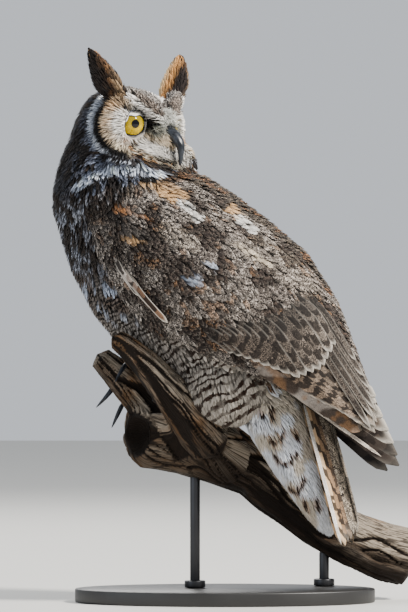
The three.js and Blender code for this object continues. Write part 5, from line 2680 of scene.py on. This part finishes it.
@dataclass
class Stand:
    """Oval plate, two rods and a collar at the foot of each."""

    plate_finish: bpy.types.Material
    rod_finish: bpy.types.Material
    collar_height: float = 7 * MM

    def build(self) -> None:
        """The plate and both rods."""
        self._plate()
        for end in ("front", "rear"):
            self._rod(end)

    def _plate(self) -> None:
        """A thick oval with a stepped and rounded rim."""
        low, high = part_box("stand_base")
        middle = (low + high) / 2
        thick = high.z - low.z
        deselect()
        bpy.ops.mesh.primitive_cylinder_add(vertices=128, radius=1.0, depth=thick, location=middle)
        plate = bpy.context.object
        plate.name = "stand_plate"
        plate.scale = ((high.x - low.x) / 2, (high.y - low.y) / 2, 1)
        bpy.ops.object.transform_apply(location=True, rotation=True, scale=True)
        for group in (plate.data.vertices, plate.data.edges):
            for element in group:
                element.select = False
        for face in plate.data.polygons:
            face.select = face.normal.z > 0.9
        bpy.ops.object.mode_set(mode="EDIT")
        bpy.ops.mesh.select_mode(type="FACE")
        bpy.ops.mesh.inset(thickness=7 * MM)
        bpy.ops.transform.translate(value=(0, 0, -1.2 * MM))
        bpy.ops.mesh.inset(thickness=1.6 * MM)
        bpy.ops.transform.translate(value=(0, 0, 1.0 * MM))
        bpy.ops.object.mode_set(mode="OBJECT")
        sizes = dict(width=1.6 * MM, segments=3, limit_method="ANGLE", angle_limit=math.radians(35))
        apply_modifier(plate, "BEVEL", **sizes)
        bpy.ops.object.shade_smooth_by_angle(angle=math.radians(40))
        plate.data.materials.append(self.plate_finish)
        hand_in(plate, ["stand_base"])

    def _rod(self, end: str) -> None:
        """A rod with a turned collar where it meets the plate.

        Args:
            end: front or rear.
        """
        low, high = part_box(f"stand_rod_{end}")
        radius = (high.x - low.x) / 2
        x, y = (low.x + high.x) / 2, (low.y + high.y) / 2
        parts = []
        for size, height in ((radius, high.z - low.z), (radius * 2.1, self.collar_height)):
            sizes = dict(vertices=40, radius=size, depth=height, location=(x, y, low.z + height / 2))
            parts.append(primitive(f"rod_{end}", bpy.ops.mesh.primitive_cylinder_add, **sizes))
            apply_modifier(parts[-1], "BEVEL", width=1.2 * MM, segments=3, limit_method="ANGLE")
        whole = joined(parts, f"stand_post_{end}")
        bpy.ops.object.shade_smooth_by_angle(angle=math.radians(40))
        whole.data.materials.append(self.rod_finish)
        hand_in(whole, [f"stand_rod_{end}"])


# ---- studio
@dataclass(frozen=True)
class Studio:
    """Pale floor, soft lights and the camera."""

    distance: float = 5.0
    aim: tuple[float, float] = (-0.021, 0.296)
    frame_height: float = 0.612
    sensor: float = 36.0
    lights: tuple = (
        ("key", (1.8, -1.1, 2.2), 220.0, 0.45, (1.0, 0.96, 0.9)),
        ("fill", (-2.2, -1.6, 0.9), 15.0, 1.8, (0.76, 0.87, 1.0)),
        ("rim", (-0.6, 1.9, 1.7), 45.0, 1.2, (1.0, 0.98, 0.95)),
    )

    def build(self) -> None:
        """Makes the whole studio."""
        self._floor()
        self._lamps()
        self._camera()

    def _floor(self) -> None:
        """A wide pale floor and the light from all round."""
        floor = primitive("floor", bpy.ops.mesh.primitive_plane_add, size=12.0, location=(0, 0, 0))
        g = Graph("studio_floor")
        cloud = g.noise(g.place(), 3.0, 2.0)
        colour = g.mix(cloud * 0.2, tint(205, 204, 200), tint(214, 213, 210))
        floor.data.materials.append(g.finish(Base_Color=colour, Roughness=0.85))
        world = bpy.data.worlds.new("studio")
        bpy.context.scene.world = world
        world.use_nodes = True
        background = world.node_tree.nodes["Background"]
        background.inputs["Color"].default_value = (0.82, 0.86, 0.92, 1.0)
        background.inputs["Strength"].default_value = 0.8

    def _lamps(self) -> None:
        """Large soft lamps round the model."""
        target = Vector((0, 0, 0.33))
        for name, place, power, size, colour in self.lights:
            data = bpy.data.lights.new(name, "AREA")
            data.energy = power
            data.size = size
            data.color = colour
            lamp = placed(name, data)
            lamp.location = place
            lamp.rotation_euler = (target - Vector(place)).to_track_quat("-Z", "Y").to_euler()

    def _camera(self) -> None:
        """A level view from the owl's left."""
        data = bpy.data.cameras.new("camera")
        data.sensor_width = self.sensor
        data.lens = self.sensor * self.distance / self.frame_height
        data.clip_end = 50.0
        camera = placed("camera", data)
        camera.location = (self.aim[0], -self.distance, self.aim[1])
        camera.rotation_euler = (math.pi / 2, 0, 0)
        bpy.context.scene.camera = camera


def main() -> None:
    """Builds the owl, its perch, its stand and the studio."""
    logging.basicConfig(level=logging.INFO, format="%(relativeCreated)7.0f ms %(message)s")
    Studio().build()
    form = Form()
    form.build()
    markings = Markings()
    Skin(form, markings).build()
    plumage = PlumageFinish().build()
    Coat(form, markings, Lie(), plumage).build()
    Tail(form, plumage).build()
    Primaries(form, plumage, "left").build()
    Primaries(form, plumage, "right", forward=14.0, drop=5.0).build()
    for word in HANDS:
        WingRows(form, plumage, word).build()
        Eye(word).build()
    Horn(HornFinish().build()).build()
    Perch(WoodFinish().build()).build()
    plate = StandFinish("stand_lacquer", tuple(tint(38, 37, 36)), 0.0, 0.35)
    rods = StandFinish("stand_steel", tuple(tint(70, 70, 72)), 0.9, 0.3)
    Stand(plate.build(), rods.build()).build()


if __name__ == "__main__":
    main()
